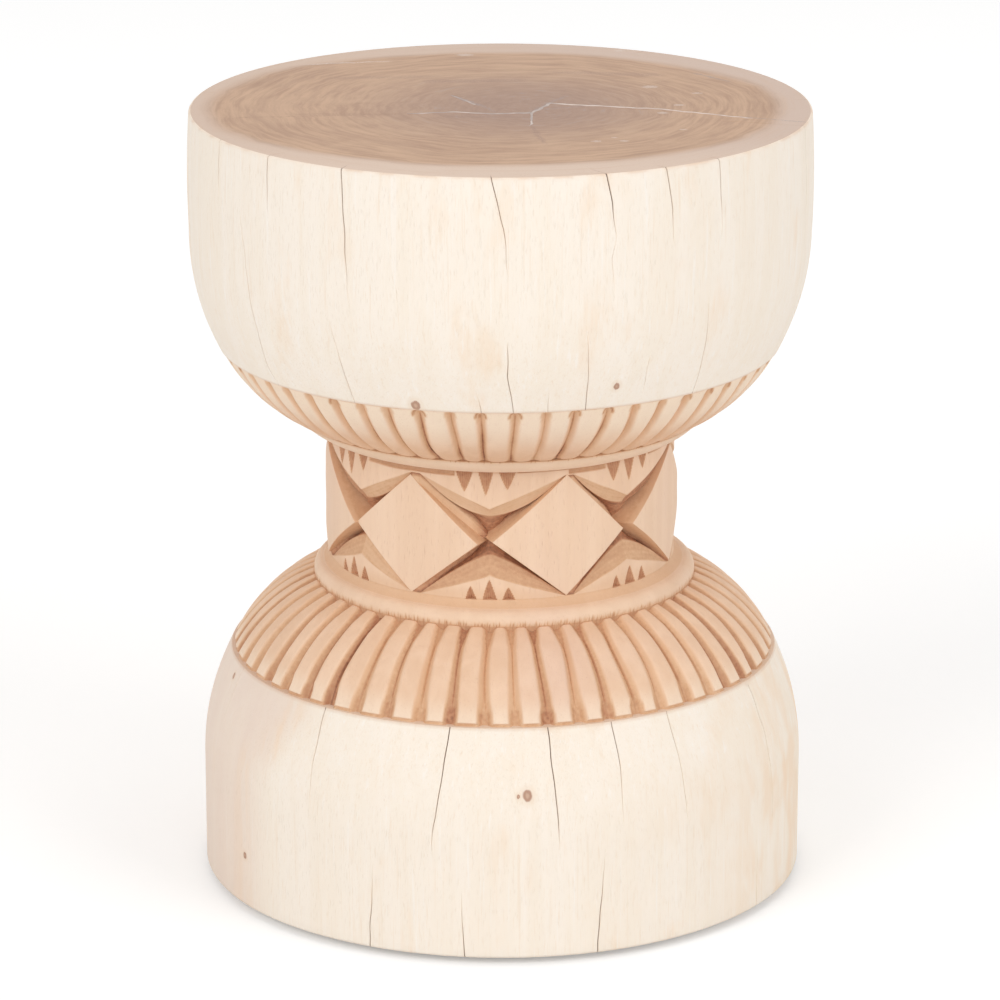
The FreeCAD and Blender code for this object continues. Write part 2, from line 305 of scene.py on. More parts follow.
class Paint:
    def __init__(self, owner):
        owner.use_nodes = True
        self.owner = owner
        self.tree = owner.node_tree
        self.tree.nodes.clear()

    def add(self, kind, settings=None, values=None, output=0):
        # One node: its settings first, then the values or links of its sockets
        node = self.tree.nodes.new(kind)
        for key, setting in (settings or {}).items():
            setattr(node, key, setting)
        pairs = values.items() if isinstance(values, dict) else enumerate(values or [])
        for key, value in pairs:
            if isinstance(value, Value):
                self.tree.links.new(value.socket, node.inputs[key])
            else:
                node.inputs[key].default_value = value
        return Value(self, node.outputs[output]) if node.outputs else None

    def mix(self, share, first, second):
        # Colour mix; sockets 6 and 7 are the two colours, and output 2 the colour result
        values = {0: share, 6: self.solid(first), 7: self.solid(second)}
        return self.add("ShaderNodeMix", {"data_type": "RGBA"}, values, 2)

    def layers(self, colour, tones, *coats):
        # Lays coats over a colour in turn, each by its share
        for share, tone in coats:
            colour = self.mix(share, colour, tones[tone])
        return colour

    def solid(self, colour):
        return colour if isinstance(colour, Value) else (*colour, 1)

    def place(self):
        return self.add("ShaderNodeTexCoord", output="Object")

    def stretched(self, place, scale):
        return self.add("ShaderNodeMapping", None, {"Vector": place, "Scale": scale})

    def noise(self, place, scale, detail=2.0, rough=0.5, twist=0.0):
        values = {"Vector": place, "Scale": scale, "Detail": detail, "Roughness": rough, "Distortion": twist}
        return self.add("ShaderNodeTexNoise", None, values)

    def drawnNoise(self, place, drawn, *kind):
        # Noise drawn out along the log: the height counts by this share
        return self.noise(self.stretched(place, (1, 1, drawn)), *kind)

    def vector(self, operation, values, output=0):
        return self.add("ShaderNodeVectorMath", {"operation": operation}, values, output)

    def part(self, place, axis):
        return self.add("ShaderNodeSeparateXYZ", None, [place], axis)

    def mark(self, name):
        return self.add("ShaderNodeAttribute", {"attribute_name": name}, None, "Fac")

    def length(self, vector, scale=(1, 1, 1)):
        # Length of a vector with each axis weighted
        return self.vector("LENGTH", [self.vector("MULTIPLY", [vector, scale])], "Value")

    def distance(self, place, point, scale=(1, 1, 1)):
        return self.length(self.vector("SUBTRACT", [place, point]), scale)

    def streak(self, place, start, end, half, soft, sway):
        # Share of a streak drawn from start to end: one less a step on the distance across it, times
        # steps along it at both ends
        run = np.subtract(end, start)
        reach = float(np.hypot(*run))
        ahead = tuple(float(value) for value in run / reach)
        offset = self.vector("SUBTRACT", [place, (*start, 0)])
        along = self.vector("DOT_PRODUCT", [offset, (*ahead, 0)], "Value")
        across = self.vector("DOT_PRODUCT", [offset, (-ahead[1], ahead[0], 0)], "Value")
        inside = along.step(-soft, soft) * (1 - along.step(reach - soft, reach + soft))
        return (1 - abs(across + sway).step(half * 0.3, half * 1.3)) * inside

    def seen(self):
        # The camera sees the plain white background, and so do metal and glass
        rays = [self.add("ShaderNodeLightPath", output=kind)
                for kind in ("Is Camera Ray", "Is Glossy Ray", "Is Transmission Ray")]
        return rays[0].most(rays[1]).most(rays[2])

    def finish(self, colour, roughness, height, bumpDepth, fixed=None):
        # Principled surface with a bump; fixed values go straight on its sockets
        bump = self.add("ShaderNodeBump", None, {"Strength": 1.0, "Distance": bumpDepth, "Height": height})
        values = {"Base Color": self.solid(colour), "Roughness": roughness, "Normal": bump}
        values.update(fixed or {})
        shader = self.add("ShaderNodeBsdfPrincipled", None, values)
        self.add("ShaderNodeOutputMaterial", None, {"Surface": shader})
        return self.owner


def newPaint(name):
    return Paint(bpy.data.materials.new(name))


# Wood materials

# Each pattern of the wood: how far it is drawn out along the log, its scale, detail, roughness and twist.
# Here they are fine flecks and broad streaks that run up the log, soft patches and dark pores
grain = {
    "patterns": [(0.05, 950, 3, 0.6), (0.05, 75, 3, 0.55, 0.4), (0.6, 9, 3, 0.5, 0.6), (0.09, 1900, 1, 0.5)],
    "bump": 0.00012,
}

sidePaint = {
    "cream": (0.955, 0.855, 0.735), "pale": (0.97, 0.88, 0.775), "warm": (0.93, 0.76, 0.585),
    "fleck": (0.86, 0.68, 0.50), "white": (0.985, 0.93, 0.87), "blotch": (0.92, 0.70, 0.50),
    "pink": (0.84, 0.67, 0.56), "crack": (0.36, 0.255, 0.21), "stain": (0.66, 0.40, 0.24),
    "knot": (0.40, 0.185, 0.11), "halo": (0.84, 0.64, 0.46),
    # turn, radius, height and size of each pin knot
    "knots": [(-16.5, 160.3, 315.9, 2.6), (22.2, 165.4, 325.8, 1.9), (5.0, 168.7, 98.3, 2.6),
              (3.3, 169.0, 98.0, 1.0), (-57.4, 172.3, 34.4, 1.6), (-73.3, 159.7, 125.7, 1.6),
              (96.0, 174.0, 350.0, 2.2), (161.0, 171.0, 80.0, 2.4), (-128.0, 175.0, 395.0, 2.0)],
    # edges of each ring of a knot as shares of the knot's size, its strength and its tone
    "knotRings": [(1.0, 2.4, 0.35, "halo"), (0.8, 1.15, 0.80, "knot"), (0.2, 0.6, 0.30, "blotch")],
    "knotSquash": 0.75, "knotWaver": 1.2,
    # flecks, streaks, blotches and the foot's patches
    "patterns": [(0.08, 1100, 2, 0.6), (0.03, 420, 2, 0.6), (0.35, 38, 3, 0.6, 0.3), (0.5, 27, 3, 0.6, 0.4)],
    # colours of the foot alone: the heights where they end, those over which the pink on the left leans
    # in, how far it leans and how far its edge sways
    "footEnd": (200, 220), "leanFrom": (80, 132), "lean": 40, "sway": 50,
    # across the foot: where the pink ends, where the streak beside it starts and ends, and where the
    # warm blotches on the right start
    "pinkEnd": (-162, -128), "streakStart": (-168, -152), "streakEnd": (-142, -130),
    "rightStart": (112, 160),
}


def woodGrain(paint, place):
    return [paint.drawnNoise(place, *pattern) for pattern in grain["patterns"]]


def bleachedWood():
    paint = newPaint("bleached_wood")
    place = paint.place()
    fine, broad, patch, pore = woodGrain(paint, place)
    s = sidePaint
    flecks, streaks, blotch, patches = (paint.drawnNoise(place, *pattern) for pattern in s["patterns"])
    x, z = paint.part(place, 0), paint.part(place, 2)
    onFoot = 1 - z.step(*inMetres(*s["footEnd"]))
    across = x - z.step(*inMetres(*s["leanFrom"])) * (s["lean"] * mm) + (patch - 0.5) * (s["sway"] * mm)
    pink = (1 - across.step(*inMetres(*s["pinkEnd"]))) * onFoot
    streak = across.step(*inMetres(*s["streakStart"])) * (1 - across.step(*inMetres(*s["streakEnd"])))
    streak = streak * onFoot
    right = x.step(*inMetres(*s["rightStart"])) * onFoot
    colour = paint.layers(
        paint.mix(broad.step(0.35, 0.65), s["cream"], s["pale"]), s,
        (patch.step(0.55, 0.74) * 0.30, "warm"),
        (blotch.step(0.56, 0.75) * (fine * 0.5 + 0.12), "blotch"),
        (flecks.step(0.54, 0.80) * 0.34, "fleck"),
        (streaks.step(0.58, 0.78) * 0.30, "fleck"),
        (streaks.step(0.42, 0.26) * 0.45, "white"),
        (pore.step(0.66, 0.78) * 0.30, "fleck"),
        (pink * (broad.step(0.2, 0.8) * 0.25 + 0.55), "pink"),
        (streak * broad.step(0.40, 0.65) * 0.45, "blotch"),
        (right * patches.step(0.44, 0.60) * 0.55, "blotch"))
    for turn, radius, height, size in s["knots"]:
        away = paint.distance(place, pointOnLog(turn, radius, height), (1, 1, s["knotSquash"]))
        edge = away + (fine - 0.5) * (s["knotWaver"] * mm)
        for inner, outer, strength, tone in s["knotRings"]:
            share = 1 - edge.step(size * inner * mm, size * outer * mm)
            colour = paint.mix(share * strength, colour, s[tone])
    check = paint.mark("check")
    colour = paint.layers(colour, s, (paint.mark("stain"), "stain"), (check.step(0.10, 0.85), "crack"))
    roughness = 0.58 + broad * 0.14 + check * 0.2
    height = fine * 0.5 - pore.step(0.60, 0.75) * 0.7 + broad * 0.5
    return paint.finish(colour, roughness, height, grain["bump"], {"Specular IOR Level": 0.3})


topPaint = {
    "heart": (0.505, 0.31, 0.196), "dark": (0.37, 0.22, 0.142), "light": (0.61, 0.40, 0.262),
    "purple": (0.30, 0.186, 0.146), "grey": (0.33, 0.265, 0.255), "line": (0.42, 0.31, 0.26),
    # the sapwood's three tones are painted light and shade: lighter at the front, darker at the sides
    "sapFrontLit": (0.70, 0.535, 0.425), "sapLeftShaded": (0.635, 0.475, 0.375), "sapRightShaded": (0.614, 0.464, 0.378),
    "pale": (0.72, 0.62, 0.56), "pith": (18.0, -2.0), "heartMiddle": (-3.5, 1.0),
    "heartHalf": (161.8, 147.0), "heartWaver": 0.07, "bump": 0.00007,
    # pace of the rings, of the broader swaths and around the pith, and how far the rings wander
    "rings": 300.0, "swaths": 0.28, "around": 3.4, "wander": 16,
    # how far from the pith the grey and purple fade out, and where the sapwood's painted shade on the left
    # and right and its painted light at the front run over
    "close": (20, 115), "sides": (-90, 90), "front": (-165, -60),
    # sideways sway and soft ends of the streaks
    "sway": 7, "soft": 6,
    # start, end, half width, colour and strength of streaks on the top
    "streaks": [
        ((-151, -29), (-54, -19), 0.8, "dark", 0.70), ((-116, -20), (-58, -19), 3.0, "dark", 0.40),
        ((127, -24), (172, -41), 0.8, "grey", 0.60), ((112, 88), (130, 67), 1.8, "grey", 0.55),
        ((17, -50), (24, -92), 1.6, "purple", 0.45), ((-44, 66), (14, 70), 5.0, "purple", 0.45),
        ((-96, 76), (-36, 80), 4.0, "purple", 0.30), ((-28, 29), (-10, 2), 1.5, "grey", 0.65),
        ((-10, 2), (-3, -15), 1.2, "grey", 0.45), ((16, -14), (36, 26), 1.8, "grey", 0.50),
        ((20, -10), (56, 6), 1.4, "grey", 0.35), ((-112, 113), (-66, 122), 1.4, "pale", 0.70),
        ((-30, -26), (12, -27), 2.2, "purple", 0.45), ((30, 92), (92, 84), 5.0, "purple", 0.35),
    ],
    # place and size of pale dabs
    "dabs": [(85, 52, 5.0), (111, 35, 3.2), (90, -16, 3.4), (52, -87, 3.2), (67, -86, 2.6), (100, -58, 2.4),
             (62, -78, 2.0), (100, 4, 2.6), (-20, 140, 5.0), (70, 152, 5.0)],
    "dabShare": 0.45, "dabSquash": 1.4,
}


def endGrain():
    # Growth rings about a pith that lies off the middle: near the rim they follow the bark, so the
    # centre of each moves back to the log's axis in proportion to the distance out
    paint = newPaint("end_grain")
    place = paint.place()
    s = topPaint
    x, y = paint.part(place, 0), paint.part(place, 1)
    out = paint.length(place, (1, 1, 0))
    back = 1 - out * (1 / (lines["rimRadius"] * mm))
    pith = paint.vector("SCALE", {0: inMetres(*s["pith"], 0), 3: back})
    offset = paint.vector("MULTIPLY", [paint.vector("SUBTRACT", [place, pith]), (1, 1, 0)])
    wander = paint.noise(place, 16, 3, 0.5, 0.5)
    away = paint.length(offset) + (wander - 0.5) * (s["wander"] * mm)
    around = paint.vector("SCALE", {0: paint.vector("NORMALIZE", [offset]), 3: s["around"]})
    upright = paint.add("ShaderNodeCombineXYZ", None, {"Z": away * s["rings"]})
    arcs = paint.noise(paint.vector("ADD", [around, upright]), 1.0, 4, 0.65)
    wide = paint.add("ShaderNodeCombineXYZ", None, {"Z": away * (s["rings"] * s["swaths"])})
    slower = paint.vector("SCALE", {0: around, 3: 0.45})
    swaths = paint.noise(paint.vector("ADD", [slower, wide]), 1.0, 3, 0.6)
    speck = paint.noise(place, 900, 3, 0.65)
    cloud = paint.noise(place, 22, 4, 0.6, 0.8)
    close = 1 - away.step(*inMetres(*s["close"]))
    colour = paint.layers(
        paint.mix(arcs.step(0.30, 0.70), s["dark"], s["light"]), s,
        (0.42, "heart"), (cloud.step(0.42, 0.72) * 0.45, "light"), (swaths.step(0.52, 0.72) * 0.40, "dark"),
        # grey and purple close round the pith
        (close * 0.64, "purple"), (close * arcs.step(0.56, 0.70) * 0.50, "grey"))
    # Sapwood with painted light and shade: lighter at the front, darker to the left and right
    halves = tuple(1 / (value * mm) for value in s["heartHalf"])
    edge = paint.distance(place, inMetres(*s["heartMiddle"], 0), (*halves, 0))
    edge = edge + (wander - 0.5) * s["heartWaver"] + (arcs - 0.5) * 0.03
    sap = paint.layers(
        paint.mix(x.step(*inMetres(*s["sides"])), s["sapLeftShaded"], s["sapRightShaded"]), s,
        (1 - y.step(*inMetres(*s["front"])), "sapFrontLit"), (arcs.step(0.45, 0.75) * 0.30, "light"))
    colour = paint.mix(edge.step(0.95, 1.035), colour, sap)
    colour = paint.mix(speck.step(0.56, 0.80) * 0.28, colour, s["dark"])
    sway = (paint.noise(place, 120, 3, 0.6) - 0.5) * (s["sway"] * mm)
    for start, end, half, tone, strength in s["streaks"]:
        share = paint.streak(place, inMetres(*start), inMetres(*end), half * mm, s["soft"] * mm, sway)
        colour = paint.mix(share * (speck.step(0.30, 0.60) * strength), colour, s[tone])
    for dabX, dabY, size in s["dabs"]:
        near = paint.distance(place, inMetres(dabX, dabY, lines["top"]), (1, s["dabSquash"], 0))
        share = 1 - (near + (cloud + speck - 1) * (size * 2 * mm)).step(size * 0.4 * mm, size * 1.1 * mm)
        colour = paint.mix(share * s["dabShare"], colour, s["pale"])
    colour = paint.mix(paint.mark("check").step(0.10, 0.7), colour, s["line"])
    return paint.finish(colour, 0.46 + speck * 0.12, speck * 0.7 + arcs * 0.3, s["bump"],
                        {"Specular IOR Level": 0.28})


carvedPaint = {
    "peach": (0.82, 0.548, 0.367), "light": (0.89, 0.625, 0.442), "cream": (0.965, 0.82, 0.655),
    "pink": (0.80, 0.555, 0.45), "tan": (0.745, 0.475, 0.285), "brown": (0.515, 0.245, 0.138),
    "deep": (0.23, 0.115, 0.072),
}


def carvedWood():
    # The stain mark runs from bare peach wood at 0 over tan at one half to brown and, past 1, deep brown
    paint = newPaint("carved_wood")
    place = paint.place()
    fine, broad, patch, pore = woodGrain(paint, place)
    s = carvedPaint
    scrape = paint.noise(place, 420, 3, 0.65)
    stain = paint.mark("stain")
    worn = stain * (scrape * 0.7 + 0.65)
    colour = paint.layers(
        paint.mix(broad.step(0.3, 0.7), s["peach"], s["light"]), s,
        (patch.step(0.5, 0.75) * 0.5, "pink"), (paint.mark("cream"), "cream"),
        (fine.step(0.48, 0.82) * 0.25, "pink"), (pore.step(0.66, 0.78) * 0.25, "brown"),
        (worn.ramp(0.02, 0.5), "tan"), (worn.ramp(0.42, 0.88), "brown"), (worn.ramp(0.86, 1.2), "deep"))
    roughness = 0.58 + broad * 0.12 + stain * 0.12
    height = fine * 0.5 - pore.step(0.60, 0.75) * 0.6 + scrape * stain * 1.6
    return paint.finish(colour, roughness, height, grain["bump"], {"Specular IOR Level": 0.28})


sideWood = bleachedWood()
topWood = endGrain()
bandWood = carvedWood()
print("wood materials made")


# Turned zones with drying checks

# What the bowl and the foot share
checks = {
    # the extra columns of a check lie at these shares of its half width, and even ones keep clear of them
    "columns": 440, "halfWidth": 0.42, "beside": (-2.6, -1, -0.5, 0, 0.5, 1, 2.6), "clear": 0.25,
    # sideways waver of a check, the run over which the skin's unevenness fades in from the line, the
    # inner pole's distance from the line, and how far the hidden rings lie inside it
    "waver": 0.045, "fade": 12.0, "pole": 12.0, "caps": (14.0, 0.5), "easeRows": 5,
    # least and further creep of the stain over a scribed line, and its strength
    "creep": (0.8, 2.4), "stain": 0.42,
}

bowlChecks = {
    "depth": 1.5, "unevenness": 0.55, "rows": 44, "swell": 0.9, "topShare": 0.25,
    "seeds": {"checks": 5, "skin": 11, "line": 23, "rim": 29},
    "flat": (171, 168, 165, 161, 156, 150, 142, 132, 118, 98, 70, 36),
    # how far the rim's warm edge reaches down the side, and its least and further strength
    "glowRun": 1.1, "glow": (0.20, 0.28),
    # turn, height and strength along each check; heights past the rim run in across the top
    "paths": [
        [(-76.5, 453, 0.2), (-76.4, 440, 0.9), (-76.2, 424, 0)],
        [(-61.4, 455, 0.3), (-61.3, 444, 1), (-61.0, 424, 0.8), (-60.8, 408, 0)],
        [(-45.4, 458, 0.2), (-45.7, 446, 0.9), (-45.6, 430, 1), (-45.5, 408, 0)],
        [(-29.6, 456, 0.2), (-29.0, 446, 1), (-28.2, 407, 0.8), (-27.6, 368, 0)],
        [(-1.9, 454, 0.2), (-1.6, 446, 0.8), (0.5, 418, 0.6), (1.1, 398, 0.3), (1.4, 391, 0.04),
         (1.2, 357, 0.04), (1.2, 351, 0.5), (1.3, 336, 0.7), (2.5, 313, 0.6)],
        [(17.2, 460, 0.3), (18.6, 447, 1), (19.7, 431, 1), (20.5, 412, 0.15), (19.7, 400, 0.3),
         (20.4, 370, 0)],
        [(29.8, 455, 0.3), (30.4, 446, 0.8), (31.4, 424, 0.7), (31.9, 398, 0)],
        [(41.8, 453, 0.3), (42.0, 446, 0.9), (42.5, 420, 0.6), (42.6, 402, 0)],
        [(73.4, 490, 0.4), (73.6, 446, 0.9), (73.9, 410, 0.7), (74.0, 372, 0)],
        [(-53.6, 414, 0), (-52.6, 396, 0.6), (-51.3, 366, 0.7), (-50.4, 345, 0.9), (-50.6, 325, 0.8),
         (-49.5, 313, 0.5)],
        [(-32.2, 370, 0), (-30.3, 333, 0.6), (-29.6, 313, 0.5)],
        [(-19.0, 391, 0), (-18.4, 380, 0.2), (-18.0, 368, 0)],
        [(-4.6, 329, 0), (-3.7, 313, 0.6)],
        [(8.8, 330, 0), (9.3, 313, 0.5)],
        [(15.0, 367, 0), (16.0, 346, 0.4), (16.6, 313, 0.7)],
        [(28.2, 349, 0), (28.0, 330, 0.4), (28.2, 316, 0)],
        [(39.5, 378, 0), (40.4, 345, 0.6), (41.2, 313, 0.6)],
        [(96.5, 456, 0.2), (96.0, 446, 0.9), (97.5, 398, 0)],
        [(118.0, 452, 0.2), (118.4, 440, 0.8), (117.6, 372, 0)],
        [(137.0, 380, 0), (138.5, 345, 0.7), (138.0, 313, 0.6)],
        [(152.0, 458, 0.2), (151.0, 446, 1), (152.6, 388, 0)],
        [(176.0, 453, 0.2), (175.4, 442, 0.8), (176.2, 360, 0.4), (175.0, 313, 0.6)],
        [(-164.0, 456, 0.2), (-163.0, 446, 0.9), (-164.2, 402, 0)],
        [(-143.0, 374, 0), (-142.0, 340, 0.7), (-143.0, 313, 0.5)],
        [(-126.0, 455, 0.2), (-125.4, 444, 0.9), (-126.6, 380, 0)],
        [(-103.0, 454, 0.2), (-102.6, 446, 0.8), (-101.6, 392, 0)],
    ],
}

footChecks = {
    "depth": 1.6, "unevenness": 0.5, "wallRows": 34, "archRows": 36, "under": (110, 150, 166),
    "seeds": {"checks": 7, "skin": 31, "line": 37},
    "paths": [
        [(-38.5, 133, 0.9), (-38.6, 105, 0.5), (-38.4, 74, 0)],
        [(-10.2, 133, 1), (-11.0, 110, 0.8), (-12.5, 80, 0.6), (-12.6, 60, 0)],
        [(-24.2, 56, 0), (-24.6, 30, 0.6), (-25.2, 4, 0.8)],
        [(-7.2, 46, 0), (-7.0, 24, 0.5), (-6.6, 4, 0.8)],
        [(9.4, 133, 1), (10.7, 83, 0.7), (11.0, 66, 0)],
        [(22.8, 133, 0.9), (23.4, 108, 0.6), (23.0, 72, 0)],
        [(35.7, 133, 0.7), (36.8, 81, 0.3), (36.9, 70, 0)],
        [(61.3, 130, 0.9), (62.8, 62, 0.4), (63.0, 50, 0)],
        [(19.6, 66, 0), (18.8, 34, 0.7), (18.1, 4, 0.9)],
        [(56.9, 50, 0), (56.9, 4, 0.6)],
        [(87.6, 133, 0.9), (87.0, 70, 0)],
        [(104.0, 60, 0), (105.0, 4, 0.8)],
        [(120.3, 133, 0.9), (119.6, 84, 0.6), (120.4, 48, 0)],
        [(148.0, 90, 0), (147.0, 30, 0.7), (147.4, 4, 0.8)],
        [(172.7, 133, 0.9), (173.4, 76, 0)],
        [(-168.0, 70, 0), (-167.0, 4, 0.8)],
        [(-149.0, 133, 0.9), (-148.2, 90, 0.6), (-149.0, 44, 0)],
        [(-117.0, 133, 0.8), (-118.0, 72, 0)],
        [(-92.0, 64, 0), (-91.0, 4, 0.8)],
        [(-70.0, 133, 0.6), (-70.6, 96, 0)],
    ],
}


def checkColumns(paths):
    # Even turns around the log, with extra columns close on each side of every check
    even = np.arange(checks["columns"]) * 360 / checks["columns"] - 180
    perDegree = np.radians(lines["bowlRadius"])
    near = np.array(checks["beside"]) * checks["halfWidth"] / perDegree
    centres = np.array([np.mean([point[0] for point in path]) for path in paths])
    extra = (centres[:, None] + near).ravel()
    gap = np.abs(even[:, None] - extra[None, :]).min(axis=1)
    return np.sort(np.concatenate([even[gap > checks["clear"]], extra])), centres


def checkedSkin(s, travel):
    # Each check holds the columns beside it on its own path, and those between two checks share out the
    # bends of both evenly. There the skin sinks as a V: strength times one less distance over half width
    turns, centres = checkColumns(s["paths"])
    perDegree = np.radians(lines["bowlRadius"])
    draw = np.random.default_rng(s["seeds"]["checks"])
    sink = np.zeros((len(travel), len(turns)))
    bends = np.zeros((len(travel), len(centres)))
    for number, path in enumerate(s["paths"]):
        ordered = sorted(path, key=lambda point: point[1])
        pathTurns, heights, strengths = zip(*ordered)
        waver = 0
        for wave in range(4):
            pace, start = draw.uniform(0.04, 0.35), draw.uniform(0, 6.3)
            waver = waver + np.sin(travel * pace + start) * checks["waver"]
        bends[:, number] = np.interp(travel, heights, pathTurns) - centres[number] + waver
        strength = np.interp(travel, heights, strengths, left=0, right=0)[:, None]
        half = checks["halfWidth"] * np.sqrt(np.clip(strength, 0.02, 1))
        vee = np.clip(1 - np.abs(turns - centres[number]) * perDegree / half, 0, 1)
        sink = np.maximum(sink, strength * vee)
    order = np.argsort(centres)
    held = 3 * checks["halfWidth"] / perDegree
    knots = (centres[order][:, None] + np.array([-held, held])).ravel()
    knots = np.concatenate([knots[-1:] - 360, knots, knots[:1] + 360])
    values = np.repeat(bends[:, order], 2, axis=1)
    values = np.concatenate([values[:, -1:], values, values[:, :1]], axis=1)
    after = np.clip(np.searchsorted(knots, turns), 1, len(knots) - 1)
    share = (turns - knots[after - 1]) / (knots[after] - knots[after - 1])
    shift = values[:, after - 1] * (1 - share) + values[:, after] * share
    return turns[None, :] + shift, sink


def lineStain(turns, travel, line, seed):
    # Stain that creeps a little way over a scribed line, more in some places than in others
    least, further = checks["creep"]
    creep = least + further * np.clip(ripple(turns, travel[:, None], seed, 9, 40) * 2 - 0.4, 0, 1)
    return np.clip(1 - np.abs(travel[:, None] - line) / creep, 0, 1) * checks["stain"]


def makeBowl():
    # Radius against height: an arc that starts upright under the side and rounds in to the line, a
    # slightly swelling side, and a small eased rim; then the flat top in to the axis
    s = bowlChecks
    line, side, top = lines["bowlLine"], lines["bowlSide"], lines["top"] - lines["flushDrop"]
    low = np.linspace(line, side, s["rows"])
    lowRadii = lines["bowlRadius"] - uprightInset(side - low, side - line,
                                                  lines["bowlRadius"] - lines["bowlLineRadius"])
    sideArc = bulgedArc((lines["bowlRadius"], side), (lines["rimRadius"], top - lines["rimEase"]),
                        s["swell"], s["rows"])[1:]
    ease = np.radians(np.linspace(0, 90, checks["easeRows"])[1:])
    easeRadii = lines["rimRadius"] - lines["rimEase"] * (1 - np.cos(ease))
    easeHeights = top - lines["rimEase"] * (1 - np.sin(ease))
    flatRadii = np.array(s["flat"])
    capRadii = [lines["inner"], *(lines["bowlLineRadius"] - inset for inset in checks["caps"])]
    radii = np.concatenate([capRadii, lowRadii, sideArc[:, 0], easeRadii, flatRadii])[:, None]
    upward = np.concatenate([low, sideArc[:, 1], easeHeights])
    heights = np.concatenate([[line + checks["pole"], line, line], upward, flatRadii * 0 + top])
    travel = np.concatenate([[line] * 3, upward, top + lines["rimRadius"] - lines["rimEase"] - flatRadii])
    placed, sink = checkedSkin(s, travel)
    sink[:len(capRadii)] = 0
    onSide = ((heights > line + 0.1) & (heights < top - 0.01))[:, None]
    onTop = (travel > top)[:, None]
    uneven = s["unevenness"] * (ripple(placed, travel[:, None], s["seeds"]["skin"]) - 1) * 0.5
    fade = smooth(travel, line, line + checks["fade"])[:, None] * onSide
    grid = radii + uneven * fade - sink * s["depth"] * onSide
    tall = heights[:, None] - sink * s["depth"] * s["topShare"] * onTop
    rimGlow = np.exp(-((heights - top) / s["glowRun"]) ** 2)[:, None] * ~onTop
    patchy = smooth(ripple(placed, 0, s["seeds"]["rim"], 9, 60), -0.1, 0.3)
    stain = lineStain(placed, travel, line, s["seeds"]["line"])
    stain = stain + rimGlow * (s["glow"][0] + s["glow"][1] * patchy)
    marks = {"check": sink, "stain": stain}
    mesh = latheMesh("bowl", setOut(placed, grid, tall), grid, tall, marks, (line + checks["pole"], top))
    addWood("bowl", mesh, sideWood)
    mesh.materials.append(topWood)
    middles = np.empty(len(mesh.polygons) * 3)
    mesh.polygons.foreach_get("center", middles)
    x, y, z = middles.reshape(-1, 3).T
    isTop = z > (top - 0.02) * mm
    inTop = z > (top - lines["rimEase"]) * mm
    inside = np.hypot(x, y) < (lines["rimRadius"] - lines["rimEase"]) * mm
    mesh.polygons.foreach_set("material_index", (isTop | (inTop & inside)).astype(np.int32))


def makeFoot():
    # Radius against height: eased edge, upright wall, and an arc that starts upright and rounds in to
    # the line under the flutes
    s = footChecks
    wallTop, line, under = lines["footWall"], lines["footLine"], lines["under"]
    ease = np.radians(np.linspace(0, 90, checks["easeRows"]))
    easeRadii = lines["footRadius"] - lines["footEase"] * (1 - np.sin(ease))
    easeHeights = under + lines["footEase"] * (1 - np.cos(ease))
    wall = np.linspace(under + lines["footEase"], wallTop, s["wallRows"])[1:]
    high = np.linspace(wallTop, line, s["archRows"])[1:]
    highRadii = lines["footRadius"] - uprightInset(high - wallTop, line - wallTop,
                                                   lines["footRadius"] - lines["footLineRadius"])
    capRadii = [*(lines["footLineRadius"] - inset for inset in reversed(checks["caps"])), lines["inner"]]
    underRadii = np.array([lines["inner"], *s["under"]])
    wallRadii = wall * 0 + lines["footRadius"]
    radii = np.concatenate([underRadii, easeRadii, wallRadii, highRadii, capRadii])[:, None]
    upward = np.concatenate([easeHeights, wall, high])
    heights = np.concatenate([underRadii * 0 + under, upward, [line, line, line - checks["pole"]]])
    travel = np.concatenate([underRadii * 0, upward, [line] * 3])
    placed, sink = checkedSkin(s, travel)
    sink[:len(underRadii)] = 0
    sink[-len(capRadii):] = 0
    onSide = ((travel > under + 0.1) & (heights < line - 0.1))[:, None]
    uneven = s["unevenness"] * (ripple(placed, travel[:, None], s["seeds"]["skin"]) - 1) * 0.5
    fade = fall(travel, line - checks["fade"], line)[:, None] * onSide
    grid = radii + uneven * fade - sink * s["depth"] * onSide
    tall = np.broadcast_to(heights[:, None], grid.shape)
    marks = {"check": sink, "stain": lineStain(placed, travel, line, s["seeds"]["line"])}
    mesh = latheMesh("foot", setOut(placed, grid, tall), grid, tall, marks, (under, line - checks["pole"]))
    addWood("foot", mesh, sideWood)


makeBowl()
makeFoot()


# Carved bands

# What both carved bands share
bands = {"perPeriod": 24, "cap": 6.0, "pole": 3.0}


def grooveLines(s, travel, draw):
    # Turn of each groove along the band: even spacing plus the carver's slips, which also drift slowly
    # along the cut as a sum of two sines. Anchored grooves pull the ones between them along
    count = s["count"]
    even = s["first"] + np.arange(count) * 360 / count + draw.uniform(-s["jitter"], s["jitter"], count)
    if s["anchors"]:
        numbers = (np.arange(count) + count // 2) % count - count // 2
        known = [number for number, turn in s["anchors"]]
        pull = [turn - s["first"] - number * 360 / count for number, turn in s["anchors"]]
        even = even + np.interp(numbers, [-count / 2, *known, count / 2], [0, *pull, 0])
    bend = np.zeros((len(travel), count))
    for number in range(2):
        pace = draw.uniform(0.03, 0.12, count)
        start = draw.uniform(0, 2 * np.pi, count)
        bend += np.sin(travel[:, None] * pace + start) * s["waver"]
    return even[None, :] + bend


